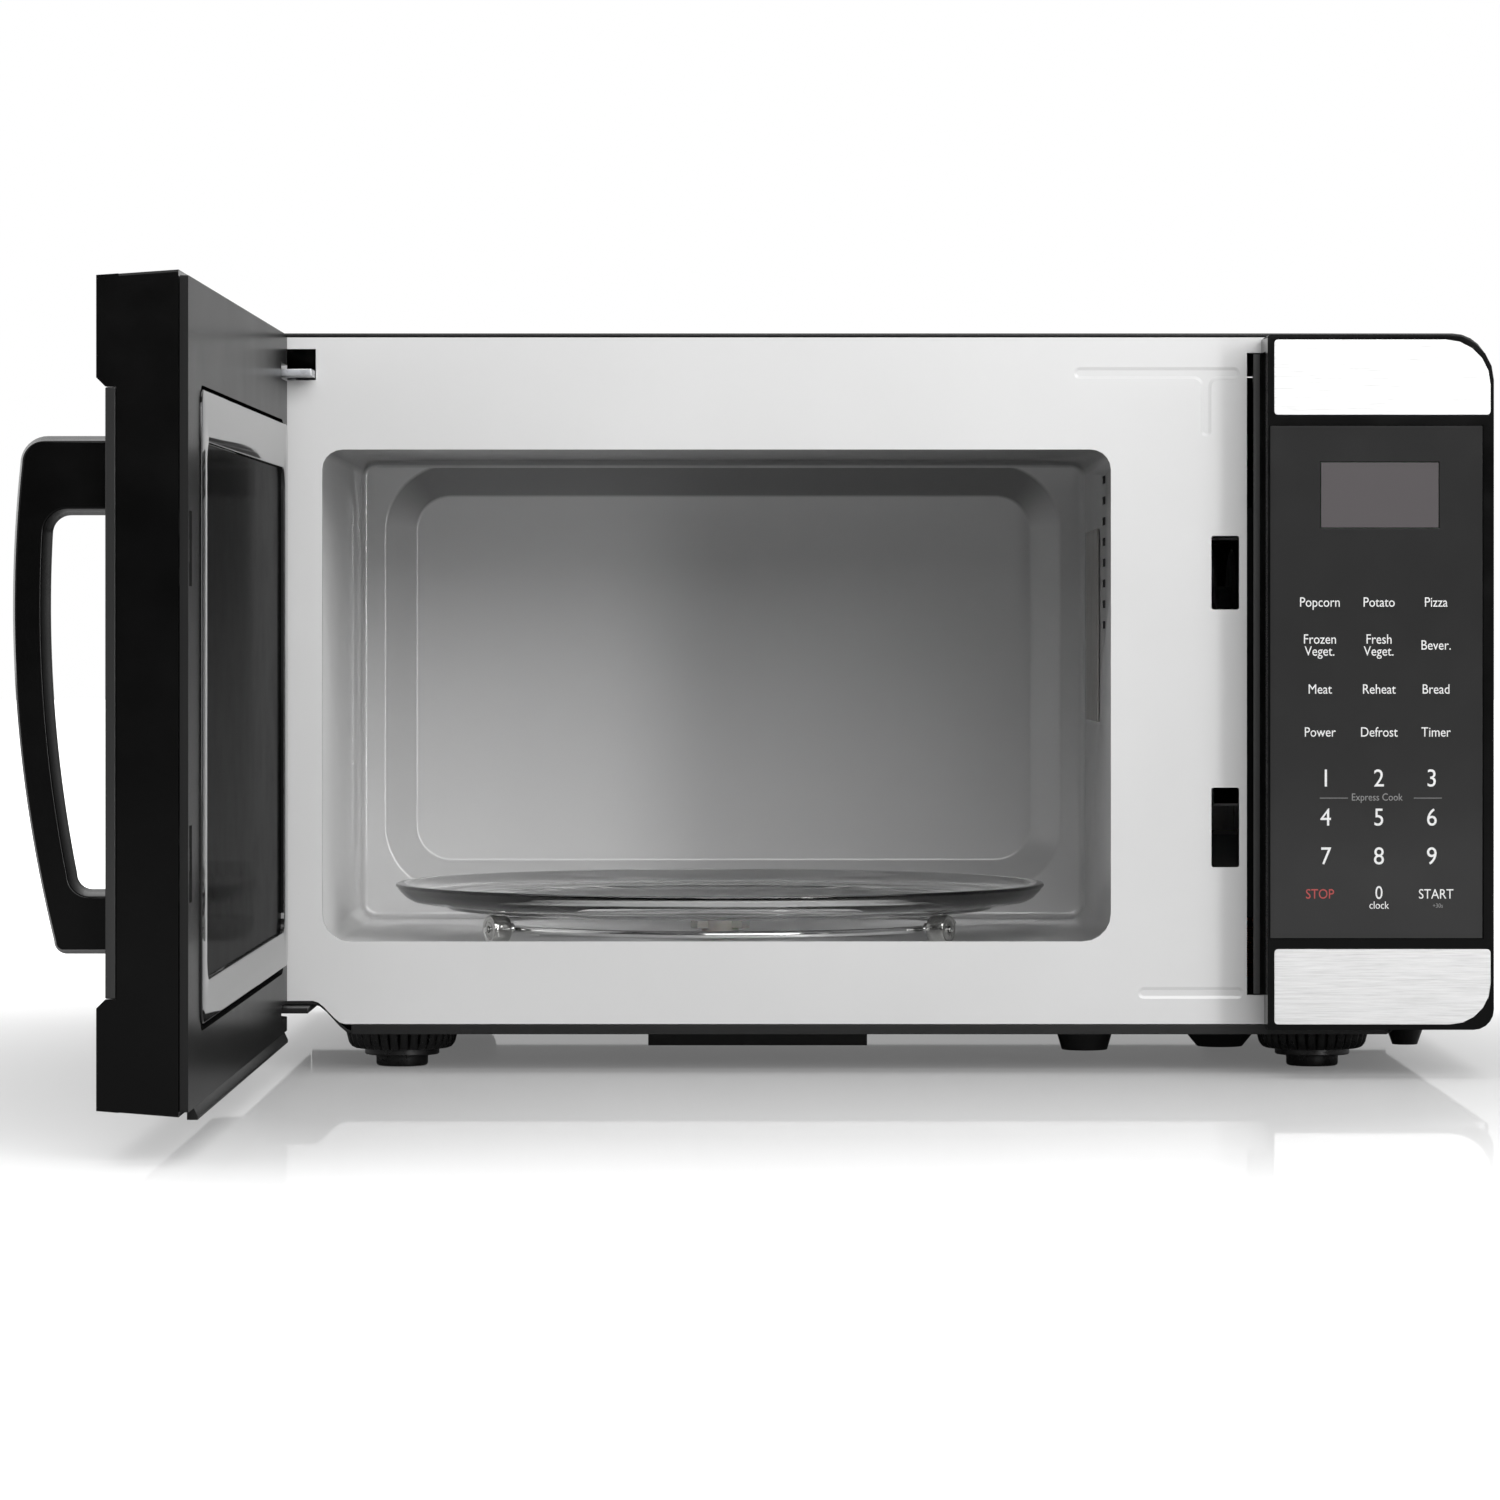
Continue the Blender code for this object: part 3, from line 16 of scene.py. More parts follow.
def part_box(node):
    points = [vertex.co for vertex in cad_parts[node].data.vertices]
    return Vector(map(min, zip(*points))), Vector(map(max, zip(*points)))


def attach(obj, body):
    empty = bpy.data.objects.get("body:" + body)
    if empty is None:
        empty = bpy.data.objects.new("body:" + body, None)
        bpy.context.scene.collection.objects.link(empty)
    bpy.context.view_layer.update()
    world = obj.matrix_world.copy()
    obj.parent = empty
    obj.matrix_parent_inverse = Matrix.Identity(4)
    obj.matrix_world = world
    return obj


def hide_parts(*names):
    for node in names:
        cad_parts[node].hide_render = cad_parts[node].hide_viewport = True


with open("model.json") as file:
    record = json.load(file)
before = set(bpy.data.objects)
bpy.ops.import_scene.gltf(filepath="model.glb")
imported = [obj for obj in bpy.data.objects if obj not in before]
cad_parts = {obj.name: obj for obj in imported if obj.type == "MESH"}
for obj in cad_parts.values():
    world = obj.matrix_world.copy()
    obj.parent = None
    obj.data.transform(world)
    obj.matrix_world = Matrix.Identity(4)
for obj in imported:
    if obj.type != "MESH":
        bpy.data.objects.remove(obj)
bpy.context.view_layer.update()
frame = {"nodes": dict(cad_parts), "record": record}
NODES = frame["nodes"]

BODY_OF = {node: body for body, nodes in frame["record"]["behaviour"]["bodies"].items() for node in nodes}
SLOT_OF = {row["node"]: row["material_slot"] for row in frame["record"]["subparts"]}

PLATE_LOW, PLATE_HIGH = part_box("front_plate")
CAVITY_LOW, CAVITY_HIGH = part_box("cavity_liner")
TOUCH_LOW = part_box("touch_panel")[0]
TABLE_LOW, TABLE_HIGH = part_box("glass_turntable")
TABLE_CENTRE = (TABLE_LOW + TABLE_HIGH) / 2
PANEL_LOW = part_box("panel_housing")[0]
CABINET_MIDDLE = (PLATE_LOW.x + PLATE_HIGH.x) / 2
SHEET = 0.0010


# Node graphs


SOCKETS = {
    "metallic": "Metallic",
    "roughness": "Roughness",
    "ior": "IOR",
    "level": "Specular IOR Level",
    "anisotropic": "Anisotropic",
    "anisotropic_turn": "Anisotropic Rotation",
    "transmission": "Transmission Weight",
    "subsurface": "Subsurface Weight",
    "subsurface_scale": "Subsurface Scale",
    "coat": "Coat Weight",
    "coat_roughness": "Coat Roughness",
}


class Finish:
    """A procedural material.  Each method adds one texture or change to its Principled shader."""

    def __init__(self, name, **sockets):
        self.material = bpy.data.materials.new(name)
        self.material.use_nodes = True
        self.tree = self.material.node_tree
        self.shader = self.tree.nodes["Principled BSDF"]
        for socket, value in sockets.items():
            self.shader.inputs[SOCKETS[socket]].default_value = value
        where = self.tree.nodes.new("ShaderNodeTexCoord")
        self.place = where.outputs["Object"]
        self.normal_place = where.outputs["Normal"]
        self.normal = None

    def node(self, kind, **settings):
        made = self.tree.nodes.new(kind)
        for name, value in settings.items():
            setattr(made, name, value)
        return made

    def link(self, output, socket):
        self.tree.links.new(output, socket)

    def stretched(self, stretch):
        """The place on the object, scaled along each axis."""
        mapping = self.node("ShaderNodeMapping")
        mapping.inputs["Scale"].default_value = stretch
        self.link(self.place, mapping.inputs["Vector"])
        return mapping.outputs["Vector"]

    def noise(self, scale, detail=3.0, roughness=0.5, stretch=(1.0, 1.0, 1.0)):
        noise = self.node("ShaderNodeTexNoise")
        noise.inputs["Scale"].default_value = scale
        noise.inputs["Detail"].default_value = detail
        noise.inputs["Roughness"].default_value = roughness
        self.link(self.stretched(stretch), noise.inputs["Vector"])
        return noise.outputs["Fac"]

    def stripes(self, scale, axis):
        """Even bands across an axis, from 0 to 1."""
        wave = self.node("ShaderNodeTexWave", bands_direction=axis)
        wave.inputs["Scale"].default_value = scale
        self.link(self.place, wave.inputs["Vector"])
        return wave.outputs["Fac"]

    def between(self, value, low, high, start=0.3, end=0.7):
        """The value's range from start to end, turned into the range from low to high."""
        remap = self.node("ShaderNodeMapRange")
        remap.inputs["From Min"].default_value = start
        remap.inputs["From Max"].default_value = end
        remap.inputs["To Min"].default_value = low
        remap.inputs["To Max"].default_value = high
        self.link(value, remap.inputs["Value"])
        return remap.outputs["Result"]

    def blended(self, share, first, second):
        """A colour between two, by the share."""
        mix = self.node("ShaderNodeMix", data_type="RGBA")
        self.link(share, mix.inputs["Factor"])
        for socket, value in (("A", first), ("B", second)):
            target = [entry for entry in mix.inputs if entry.name == socket and entry.type == "RGBA"][0]
            if isinstance(value, bpy.types.NodeSocket):
                self.link(value, target)
            else:
                target.default_value = (*value, 1.0)
        return [entry for entry in mix.outputs if entry.type == "RGBA"][0]

    def colour(self, output):
        self.link(output, self.shader.inputs["Base Color"])

    def roughness(self, output):
        self.link(output, self.shader.inputs["Roughness"])

    def bump(self, height, depth):
        """Adds relief of that depth in metres.  Each call builds on the one before."""
        bump = self.node("ShaderNodeBump")
        bump.inputs["Strength"].default_value = 1.0
        bump.inputs["Distance"].default_value = depth
        self.link(height, bump.inputs["Height"])
        if self.normal is not None:
            self.link(self.normal, bump.inputs["Normal"])
        self.normal = bump.outputs["Normal"]
        self.link(self.normal, self.shader.inputs["Normal"])

    def worn_edges(self, colour, edge, width):
        """Lightens the colour near sharp edges, as handling does."""
        rounded = self.node("ShaderNodeBevel", samples=4)
        rounded.inputs["Radius"].default_value = width
        geometry = self.node("ShaderNodeNewGeometry")
        compare = self.node("ShaderNodeVectorMath", operation="DOT_PRODUCT")
        self.link(rounded.outputs["Normal"], compare.inputs[0])
        self.link(geometry.outputs["Normal"], compare.inputs[1])
        share = self.between(compare.outputs["Value"], 1.0, 0.0, 0.86, 0.99)
        return self.blended(share, colour, edge)


def grey(value):
    return (value, value, value)


# Finishes


def enamel(name, light, dark, gloss, painted_shade_factor=1.0, **sockets):
    """Sprayed and baked enamel: soft mottling, a fine orange peel, and, when a shade factor is given, painted
    shade where it faces down.
    """
    finish = Finish(name, roughness=gloss, **sockets)
    cloud = finish.noise(9.0, 4.0)
    colour = finish.blended(finish.between(cloud, 0.0, 1.0), dark, light)
    # Painted shade: faces that point down are blended towards the dark tone, scaled by the shade factor.
    if painted_shade_factor < 1.0:
        facing = finish.node("ShaderNodeSeparateXYZ")
        finish.link(finish.normal_place, facing.inputs["Vector"])
        under = finish.between(facing.outputs["Z"], 1.0, 0.0, -0.50, -0.05)
        colour = finish.blended(under, colour, tuple(channel * painted_shade_factor for channel in dark))
    finish.colour(colour)
    finish.roughness(finish.between(finish.noise(60.0, 3.0), gloss - 0.04, gloss + 0.05))
    finish.bump(finish.noise(700.0, 2.0), 0.000004)
    return finish.material


def gloss_enamel():
    """Black enamel polished like a piano lid, with the faintest orange peel."""
    finish = Finish("gloss_black_enamel", roughness=0.04)
    finish.colour(finish.blended(finish.noise(14.0, 3.0), grey(0.006), grey(0.010)))
    finish.roughness(finish.between(finish.noise(50.0, 4.0), 0.02, 0.06))
    finish.bump(finish.noise(400.0, 2.0), 0.0000006)
    return finish.material


def powder_coat():
    """Black powder coat: a fine pebbled grain with small differences of sheen."""
    finish = Finish("black_powder_coat", roughness=0.36, level=0.40)
    grain = finish.noise(1500.0, 3.0)
    finish.colour(finish.blended(finish.noise(35.0, 4.0), grey(0.0030), grey(0.0055)))
    finish.roughness(finish.between(grain, 0.30, 0.44))
    finish.bump(grain, 0.00002)
    return finish.material


def black_moulding():
    """Satin black ABS: faint clouds of gloss, and a moulded grain too fine to catch a line of light."""
    finish = Finish("black_moulding", roughness=0.16, level=0.14)
    finish.colour(finish.blended(finish.noise(22.0), grey(0.0016), grey(0.0028)))
    finish.roughness(finish.between(finish.noise(60.0, 4.0), 0.13, 0.20))
    finish.bump(finish.noise(2600.0, 2.0), 0.000002)
    return finish.material


def seal_moulding():
    """Mid-grey flexible moulding, a little duller along its length."""
    finish = Finish("grey_seal", roughness=0.40, level=0.3)
    finish.colour(finish.blended(finish.noise(1.0, 3.0, 0.5, (60.0, 60.0, 14.0)), grey(0.052), grey(0.070)))
    finish.roughness(finish.between(finish.noise(200.0, 3.0), 0.34, 0.48))
    finish.bump(finish.noise(1800.0, 2.0), 0.000005)
    return finish.material


def shaded_dusty_moulding():
    """Black moulding deep in the cabinet, dull with dust and made darker as painted shade; it also colours
    the painted shadow behind the lamp holes.
    """
    finish = Finish("dusty_black_moulding_painted_shade", roughness=0.6, level=0.05)
    finish.colour(finish.blended(finish.noise(120.0, 4.0), grey(0.0008), grey(0.0018)))
    finish.roughness(finish.between(finish.noise(300.0, 3.0), 0.5, 0.7))
    finish.bump(finish.noise(1500.0, 2.0), 0.000005)
    return finish.material


def dark_moulding():
    """Dark grey moulding, smooth enough to hold a soft reflection, with a fine grain."""
    finish = Finish("dark_grey_moulding", roughness=0.22, ior=1.065)
    finish.colour(finish.blended(finish.noise(28.0, 4.0), grey(0.017), grey(0.021)))
    finish.roughness(finish.between(finish.noise(30.0, 2.0), 0.23, 0.25))
    finish.bump(finish.noise(2200.0, 2.0), 0.0000006)
    return finish.material


def brushed_metal(name, along, light, dark, rough):
    """Steel brushed along one axis: thin streaks of brightness, roughness and depth."""
    finish = Finish(name, metallic=0.55, roughness=rough, anisotropic=0.55, anisotropic_turn=0.25)
    across = {"X": (45.0, 1100.0, 1100.0), "Y": (1100.0, 45.0, 1100.0)}[along]
    fine = {"X": (110.0, 3200.0, 3200.0), "Y": (3200.0, 110.0, 3200.0)}[along]
    streaks = finish.noise(1.0, 5.0, 0.7, across)
    hairs = finish.noise(1.0, 3.0, 0.6, fine)
    shade = finish.blended(finish.between(streaks, 0.0, 1.0, 0.32, 0.68), dark, light)
    finish.colour(finish.blended(finish.between(hairs, 0.0, 0.5, 0.35, 0.75), shade, light))
    finish.roughness(finish.between(streaks, rough + 0.07, rough - 0.06))
    finish.bump(hairs, 0.000004)
    tangent = finish.node("ShaderNodeTangent", direction_type="RADIAL", axis="Z")
    finish.link(tangent.outputs["Tangent"], finish.shader.inputs["Tangent"])
    return finish.material


def backed_glass(name, deep, shallow, **sockets):
    """Polished glass with paint behind it: a deep even colour under a clear gloss."""
    finish = Finish(name, roughness=0.10, **sockets)
    finish.colour(finish.blended(finish.noise(6.0, 2.0), deep, shallow))
    finish.roughness(finish.between(finish.noise(45.0, 5.0, 0.65), 0.07, 0.14))
    finish.bump(finish.noise(12.0, 1.0), 0.000005)
    return finish.material


def clear_glass():
    """Pressed glass, slightly grey, with the faintest waviness of its mould."""
    finish = Finish("clear_glass", roughness=0.01, transmission=1.0, ior=1.46)
    finish.colour(finish.blended(finish.noise(18.0), grey(0.90), grey(0.95)))
    finish.bump(finish.noise(25.0, 1.0), 0.0000002)
    return finish.material


def chrome():
    """Polished plating, with a slight ripple and a few dull spots."""
    finish = Finish("chrome_plate", metallic=1.0, roughness=0.06)
    finish.colour(finish.blended(finish.noise(160.0, 4.0), grey(0.72), grey(0.90)))
    finish.roughness(finish.between(finish.noise(400.0, 4.0), 0.03, 0.10))
    finish.bump(finish.noise(90.0, 2.0), 0.000004)
    return finish.material


def zinc_plate():
    """Zinc-plated steel: a cool spangle, with paler edges."""
    finish = Finish("zinc_plate", metallic=1.0, roughness=0.36)
    cells = finish.node("ShaderNodeTexVoronoi")
    cells.inputs["Scale"].default_value = 260.0
    finish.link(finish.place, cells.inputs["Vector"])
    spangle = finish.blended(cells.outputs["Color"], (0.36, 0.37, 0.39), (0.52, 0.53, 0.55))
    finish.colour(finish.worn_edges(spangle, grey(0.72), 0.0006))
    finish.roughness(finish.between(finish.noise(120.0, 4.0), 0.28, 0.46))
    finish.bump(finish.noise(500.0, 3.0), 0.00001)
    return finish.material


def aluminium():
    """Drawn aluminium, streaked along its height."""
    finish = Finish("drawn_aluminium", metallic=1.0, roughness=0.34)
    drawn = finish.noise(1.0, 4.0, 0.6, (900.0, 900.0, 40.0))
    finish.colour(finish.blended(drawn, grey(0.55), grey(0.74)))
    finish.roughness(finish.between(drawn, 0.26, 0.42))
    finish.bump(drawn, 0.00001)
    return finish.material


def rubber():
    """Black moulded rubber with a low gloss, a little dusty in its grain."""
    finish = Finish("black_rubber", roughness=0.28, level=0.6)
    dust = finish.noise(240.0, 5.0, 0.7)
    finish.colour(finish.blended(finish.between(dust, 0.0, 1.0, 0.45, 0.8), grey(0.003), grey(0.008)))
    finish.roughness(finish.between(dust, 0.22, 0.40))
    finish.bump(finish.noise(1300.0, 3.0), 0.00001)
    return finish.material


def pale_plastic():
    """Off-white moulding that lets a little light in."""
    finish = Finish("off_white_moulding", roughness=0.42, subsurface=0.15, subsurface_scale=0.002)
    finish.colour(finish.blended(finish.noise(45.0, 4.0), (0.66, 0.65, 0.60), (0.77, 0.76, 0.72)))
    finish.roughness(finish.between(finish.noise(300.0, 3.0), 0.36, 0.50))
    finish.bump(finish.noise(900.0, 2.0), 0.00002)
    return finish.material


def glossy_moulding():
    """Off-white moulding polished by rolling until it glints like metal."""
    finish = Finish("polished_off_white", metallic=0.9, roughness=0.12, coat=0.5, coat_roughness=0.08)
    finish.colour(finish.blended(finish.noise(260.0, 4.0), (0.34, 0.34, 0.33), (0.60, 0.60, 0.58)))
    finish.roughness(finish.between(finish.noise(420.0, 3.0), 0.08, 0.18))
    finish.bump(finish.noise(900.0, 2.0), 0.000003)
    return finish.material


def mica():
    """Pressed mica sheet: layered flakes, a few of them paler."""
    finish = Finish("mica_sheet", roughness=0.45, ior=1.35)
    flakes = finish.node("ShaderNodeTexVoronoi")
    flakes.inputs["Scale"].default_value = 420.0
    finish.link(finish.place, flakes.inputs["Vector"])
    cloud = finish.noise(50.0, 5.0, 0.6)
    base = finish.blended(finish.between(cloud, 0.0, 1.0), (0.42, 0.41, 0.39), (0.52, 0.51, 0.49))
    flake = finish.between(flakes.outputs["Distance"], 0.35, 0.0, 0.0, 0.8)
    finish.colour(finish.blended(flake, base, grey(0.60)))
    finish.bump(flakes.outputs["Distance"], 0.00002)
    return finish.material


def circuit_board():
    """Green solder mask over a pattern of copper tracks."""
    finish = Finish("solder_mask", roughness=0.35, coat=0.4, coat_roughness=0.15)
    tracks = finish.node("ShaderNodeTexBrick")
    tracks.inputs["Scale"].default_value = 130.0
    tracks.inputs["Mortar Size"].default_value = 0.05
    finish.link(finish.stretched((1.0, 1.0, 0.55)), tracks.inputs["Vector"])
    board = finish.blended(finish.noise(30.0), (0.012, 0.085, 0.035), (0.022, 0.125, 0.050))
    finish.colour(finish.blended(tracks.outputs["Fac"], board, (0.050, 0.190, 0.075)))
    finish.bump(tracks.outputs["Fac"], 0.00006)
    return finish.material


def laminations():
    """Stacked and varnished iron sheets."""
    finish = Finish("iron_laminations", metallic=0.85, roughness=0.42)
    sheets = finish.stripes(620.0, "Y")
    varnish = finish.blended(finish.noise(40.0, 4.0), (0.10, 0.11, 0.13), (0.19, 0.19, 0.20))
    finish.colour(finish.blended(finish.between(sheets, 0.0, 0.6, 0.0, 0.5), grey(0.03), varnish))
    finish.bump(sheets, 0.0001)
    return finish.material


def copper_wire():
    """Layers of enamelled wire."""
    finish = Finish("enamelled_copper", metallic=1.0, roughness=0.30, coat=0.6)
    turns = finish.stripes(330.0, "Z")
    tint = finish.blended(finish.noise(90.0, 3.0), (0.42, 0.14, 0.05), (0.62, 0.27, 0.11))
    finish.colour(finish.blended(finish.between(turns, 0.0, 1.0, 0.0, 0.4), (0.10, 0.03, 0.01), tint))
    finish.bump(turns, 0.0004)
    return finish.material


def print_ink(name, colour):
    """Screen-printed ink, slightly uneven in its cover."""
    finish = Finish(name, roughness=0.45)
    faded = tuple(channel * 0.82 for channel in colour)
    finish.colour(finish.blended(finish.between(finish.noise(1800.0, 3.0), 0.0, 1.0), faded, colour))
    finish.bump(finish.noise(3000.0, 2.0), 0.000005)
    return finish.material


FINISHES = {
    "black_paint": powder_coat(),
    "grey_paint": enamel("light_grey_enamel", grey(0.70), grey(0.665), 0.34, coat=0.5, coat_roughness=0.16),
    "black_plastic": black_moulding(),
    "dark_grey_plastic": dark_moulding(),
    "brushed_steel": brushed_metal("brushed_steel", "X", grey(0.76), grey(0.46), 0.36),
    "black_glass": backed_glass("black_backed_glass", grey(0.025), grey(0.030), level=0.30),
    "display_glass": backed_glass("display_window", (0.096, 0.089, 0.092), (0.108, 0.099, 0.103), level=0.30),
    "clear_glass": clear_glass(),
    "chrome": chrome(),
    "zinc_steel": zinc_plate(),
    "aluminium": aluminium(),
    "rubber": rubber(),
    "white_plastic": pale_plastic(),
    "mica": mica(),
    "circuit_board": circuit_board(),
    "iron_core": laminations(),
    "copper_wire": copper_wire(),
}
DOOR_STEEL = brushed_metal("brushed_steel_door", "Y", grey(0.76), grey(0.46), 0.36)
# A darker dull black: painted shade for pieces deep in the cabinet, and the lamp holes' painted shadow.
SHADED_DUSTY_BLACK = shaded_dusty_moulding()
DOOR_ENAMEL = gloss_enamel()
DARK_PANE = backed_glass("dark_pane", grey(0.003), grey(0.005), ior=1.009)
# The cavity's enamel carries painted shade: its downward faces darken to 0.40 of its dark tone.
CAVITY_ENAMEL_PAINTED_SHADE = enamel("cavity_enamel_painted_shade", grey(0.70), grey(0.665), 0.34, 0.40, coat=0.8, coat_roughness=0.10)
ROLLER_GLOSS = glossy_moulding()
WHITE_INK = print_ink("white_ink", grey(0.80))
FAINT_INK = print_ink("faint_ink", grey(0.22))
RED_INK = print_ink("red_ink", (0.40, 0.045, 0.040))

# Nodes whose finish isn't that of their slot.
NODE_FINISHES = {
    "door_trim_top": DOOR_STEEL, "door_trim_bottom": DOOR_STEEL, "interlock_bracket": SHADED_DUSTY_BLACK,
    "switch_primary": SHADED_DUSTY_BLACK, "switch_monitor": SHADED_DUSTY_BLACK, "switch_secondary": SHADED_DUSTY_BLACK,
}


# Shapes


def mesh_object(name, shape):
    """Puts a shape in the scene as an object."""
    mesh = bpy.data.meshes.new(name)
    shape.to_mesh(mesh)
    shape.free()
    obj = bpy.data.objects.new(name, mesh)
    bpy.context.scene.collection.objects.link(obj)
    return obj


def new_piece(name, shape, node, finish=None, body=None, replaces=()):
    """Makes the shape a piece that rides with a node's body and takes its slot."""
    obj = mesh_object(name, shape)
    obj.data.materials.append(finish or FINISHES[SLOT_OF[node]])
    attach(obj, body or BODY_OF[node])
    if replaces:
        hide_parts(*replaces)
    return obj


def shade(obj, angle=35.0):
    obj.data.shade_smooth()
    obj.data.set_sharp_from_angle(angle=math.radians(angle))


def soften(obj, width, segments=2, angle=35.0):
    """Rounds an object's sharp edges by a small width, and keeps its flat faces flat."""
    weld = obj.modifiers.new("weld", "WELD")
    weld.merge_threshold = 0.00001
    bevel = obj.modifiers.new("soften", "BEVEL")
    bevel.width = width
    bevel.segments = segments
    bevel.limit_method = "ANGLE"
    bevel.angle_limit = math.radians(angle)
    bevel.harden_normals = False
    flat = obj.modifiers.new("flat_faces", "WEIGHTED_NORMAL")
    flat.keep_sharp = True
    flat.weight = 80


def arc(centre, radius, start, end, pieces):
    """Points along an arc, its angles in degrees."""
    points = []
    for step in range(pieces + 1):
        angle = math.radians(start + (end - start) * step / pieces)
        points.append((centre[0] + radius * math.cos(angle), centre[1] + radius * math.sin(angle)))
    return points


def rounded_ring(half_wide, half_high, radius, pieces=12):
    """A rectangle about the origin with rounded corners, anticlockwise from the lower left."""
    points = []
    for index, (side, up) in enumerate(((-1, -1), (1, -1), (1, 1), (-1, 1))):
        centre = (side * (half_wide - radius), up * (half_high - radius))
        points += arc(centre, radius, 180 + 90 * index, 270 + 90 * index, pieces)
    return points


def bridge(shape, first, second):
    """Faces between two rings of vertices with as many points each."""
    count = len(first)
    for index in range(count):
        after = (index + 1) % count
        shape.faces.new((first[index], first[after], second[after], second[index]))


def lofted(rings, open_start=False):
    """A skin through rings of points, with as many points in each, closed at its ends."""
    shape = bmesh.new()
    made = [[shape.verts.new(point) for point in ring] for ring in rings]
    for first, second in zip(made, made[1:]):
        bridge(shape, first, second)
    if not open_start:
        shape.faces.new(made[0])
    shape.faces.new(made[-1])
    bmesh.ops.recalc_face_normals(shape, faces=shape.faces)
    return shape


def lathe(profile, steps, radius_at=None):
    """A closed turned shape about Z.

    The profile runs from the top down.  It meets the axis at both ends, or else it closes on itself.
    """
    shape = bmesh.new()
    rings = []
    for radius, height in profile:
        if radius == 0.0:
            rings.append([shape.verts.new((0.0, 0.0, height))])
            continue
        ring = []
        for step in range(steps):
            angle = 2 * math.pi * step / steps
            reach = radius_at(radius, height, angle) if radius_at else radius
            ring.append(shape.verts.new((reach * math.cos(angle), reach * math.sin(angle), height)))
        rings.append(ring)
    for upper, lower in zip(rings, rings[1:]):
        if len(upper) == 1:
            for step in range(steps):
                shape.faces.new((upper[0], lower[step], lower[(step + 1) % steps]))
        elif len(lower) == 1:
            for step in range(steps):
                shape.faces.new((upper[(step + 1) % steps], upper[step], lower[0]))
        else:
            bridge(shape, lower, upper)
    if len(rings[0]) > 1:
        bridge(shape, rings[0], rings[-1])
    bmesh.ops.recalc_face_normals(shape, faces=shape.faces)
    return shape


def slab(outline, axis, low, high):
    """A solid from a flat outline pushed along an axis.

    Points are (y, z) for X, (x, z) for Y and (x, y) for Z.
    """
    shape = bmesh.new()
    order = {"X": (2, 0, 1), "Y": (0, 2, 1), "Z": (0, 1, 2)}[axis]

    def ring(depth):
        return [shape.verts.new([(across, up, depth)[index] for index in order]) for across, up in outline]

    near = ring(low)
    far = ring(high)
    shape.faces.new(near)
    shape.faces.new(far)
    bridge(shape, near, far)
    bmesh.ops.recalc_face_normals(shape, faces=shape.faces)
    return shape


def moved(shape, matrix):
    bmesh.ops.transform(shape, matrix=matrix, verts=shape.verts)
    return shape


def merged(shapes):
    """Several shapes as one."""
    whole = bmesh.new()
    for shape in shapes:
        mesh = bpy.data.meshes.new("part")
        shape.to_mesh(mesh)
        shape.free()
        whole.from_mesh(mesh)
        bpy.data.meshes.remove(mesh)
    return whole


# The frame's own nodes


# How wide a node's sharp edges are rounded, where not by the plain width.  The rear panel's stay sharp.
SOFT_EDGES = {
    "outer_wrapper": 0.0004, "base_plate": 0.0004, "rear_panel": 0.0, "front_plate": 0.0006,
    "panel_housing": 0.0006, "touch_panel": 0.0002, "display_window": 0.0001, "door_frame": 0.0006,
    "door_trim_top": 0.0005, "door_trim_bottom": 0.0005, "choke_cover": 0.0004, "waveguide_cover": 0.0002,
}
PLAIN_EDGE = 0.0003


def finish_nodes(standing_in):
    """Gives every node that stays visible its finish and its softened edges."""
    for name, obj in NODES.items():
        if name in standing_in:
            continue
        obj.data.materials.clear()
        obj.data.materials.append(NODE_FINISHES.get(name, FINISHES[SLOT_OF[name]]))
        shade(obj)
        width = SOFT_EDGES.get(name, PLAIN_EDGE)
        if width:
            soften(obj, width)


# Pressed grooves of the front plate


def tee_outline():
    """A T: a bar with round ends, and a stem that runs down from it with filleted corners."""
    left, right = CABINET_MIDDLE + 0.0827, CABINET_MIDDLE + 0.1473
    low, high = 0.2698, 0.2744
    stem_left, stem_right = CABINET_MIDDLE + 0.1321, CABINET_MIDDLE + 0.1362
    bottom = 0.2474
    end, fillet, tip = 0.0022, 0.0030, 0.0020
    points = arc((left + end, low + end), end, 180, 270, 6)
    points += arc((stem_left - fillet, low - fillet), fillet, 90, 0, 6)
    points += arc((stem_left + tip, bottom + tip), tip, 180, 270, 6)
    points += arc((stem_right - tip, bottom + tip), tip, 270, 360, 6)
    points += arc((stem_right + fillet, low - fillet), fillet, 180, 90, 6)
    points += arc((right - end, low + end), end, 270, 360, 6)
    points += arc((right - end, high - end), end, 0, 90, 6)
    points += arc((left + end, high - end), end, 90, 180, 6)
    return points


def bar_outline():
    """A short level bar with round ends."""
    middle = (CABINET_MIDDLE + 0.1282, 0.0309)
    return [(middle[0] + across, middle[1] + up) for across, up in rounded_ring(0.0206, 0.0023, 0.0022, 6)]


def make_pressings():
    """Sloping walls inside the plate's two grooves, so that each looks pressed from the sheet."""
    front = PLATE_LOW.y + 0.00002
    thick, wall, fall = 0.00064, 0.0012, 0.0004
    for name, outline in (("tee_pressing", tee_outline()), ("bar_pressing", bar_outline())):
        shape = slab(outline, "Y", front, front + thick)
        shape.normal_update()
        face = min(shape.faces, key=lambda entry: entry.calc_center_median().y)
        bmesh.ops.inset_region(shape, faces=[face], thickness=wall, depth=-fall, use_even_offset=True)
        pressing = new_piece(name, shape, "front_plate")
        shade(pressing, 12.0)


# Cavity


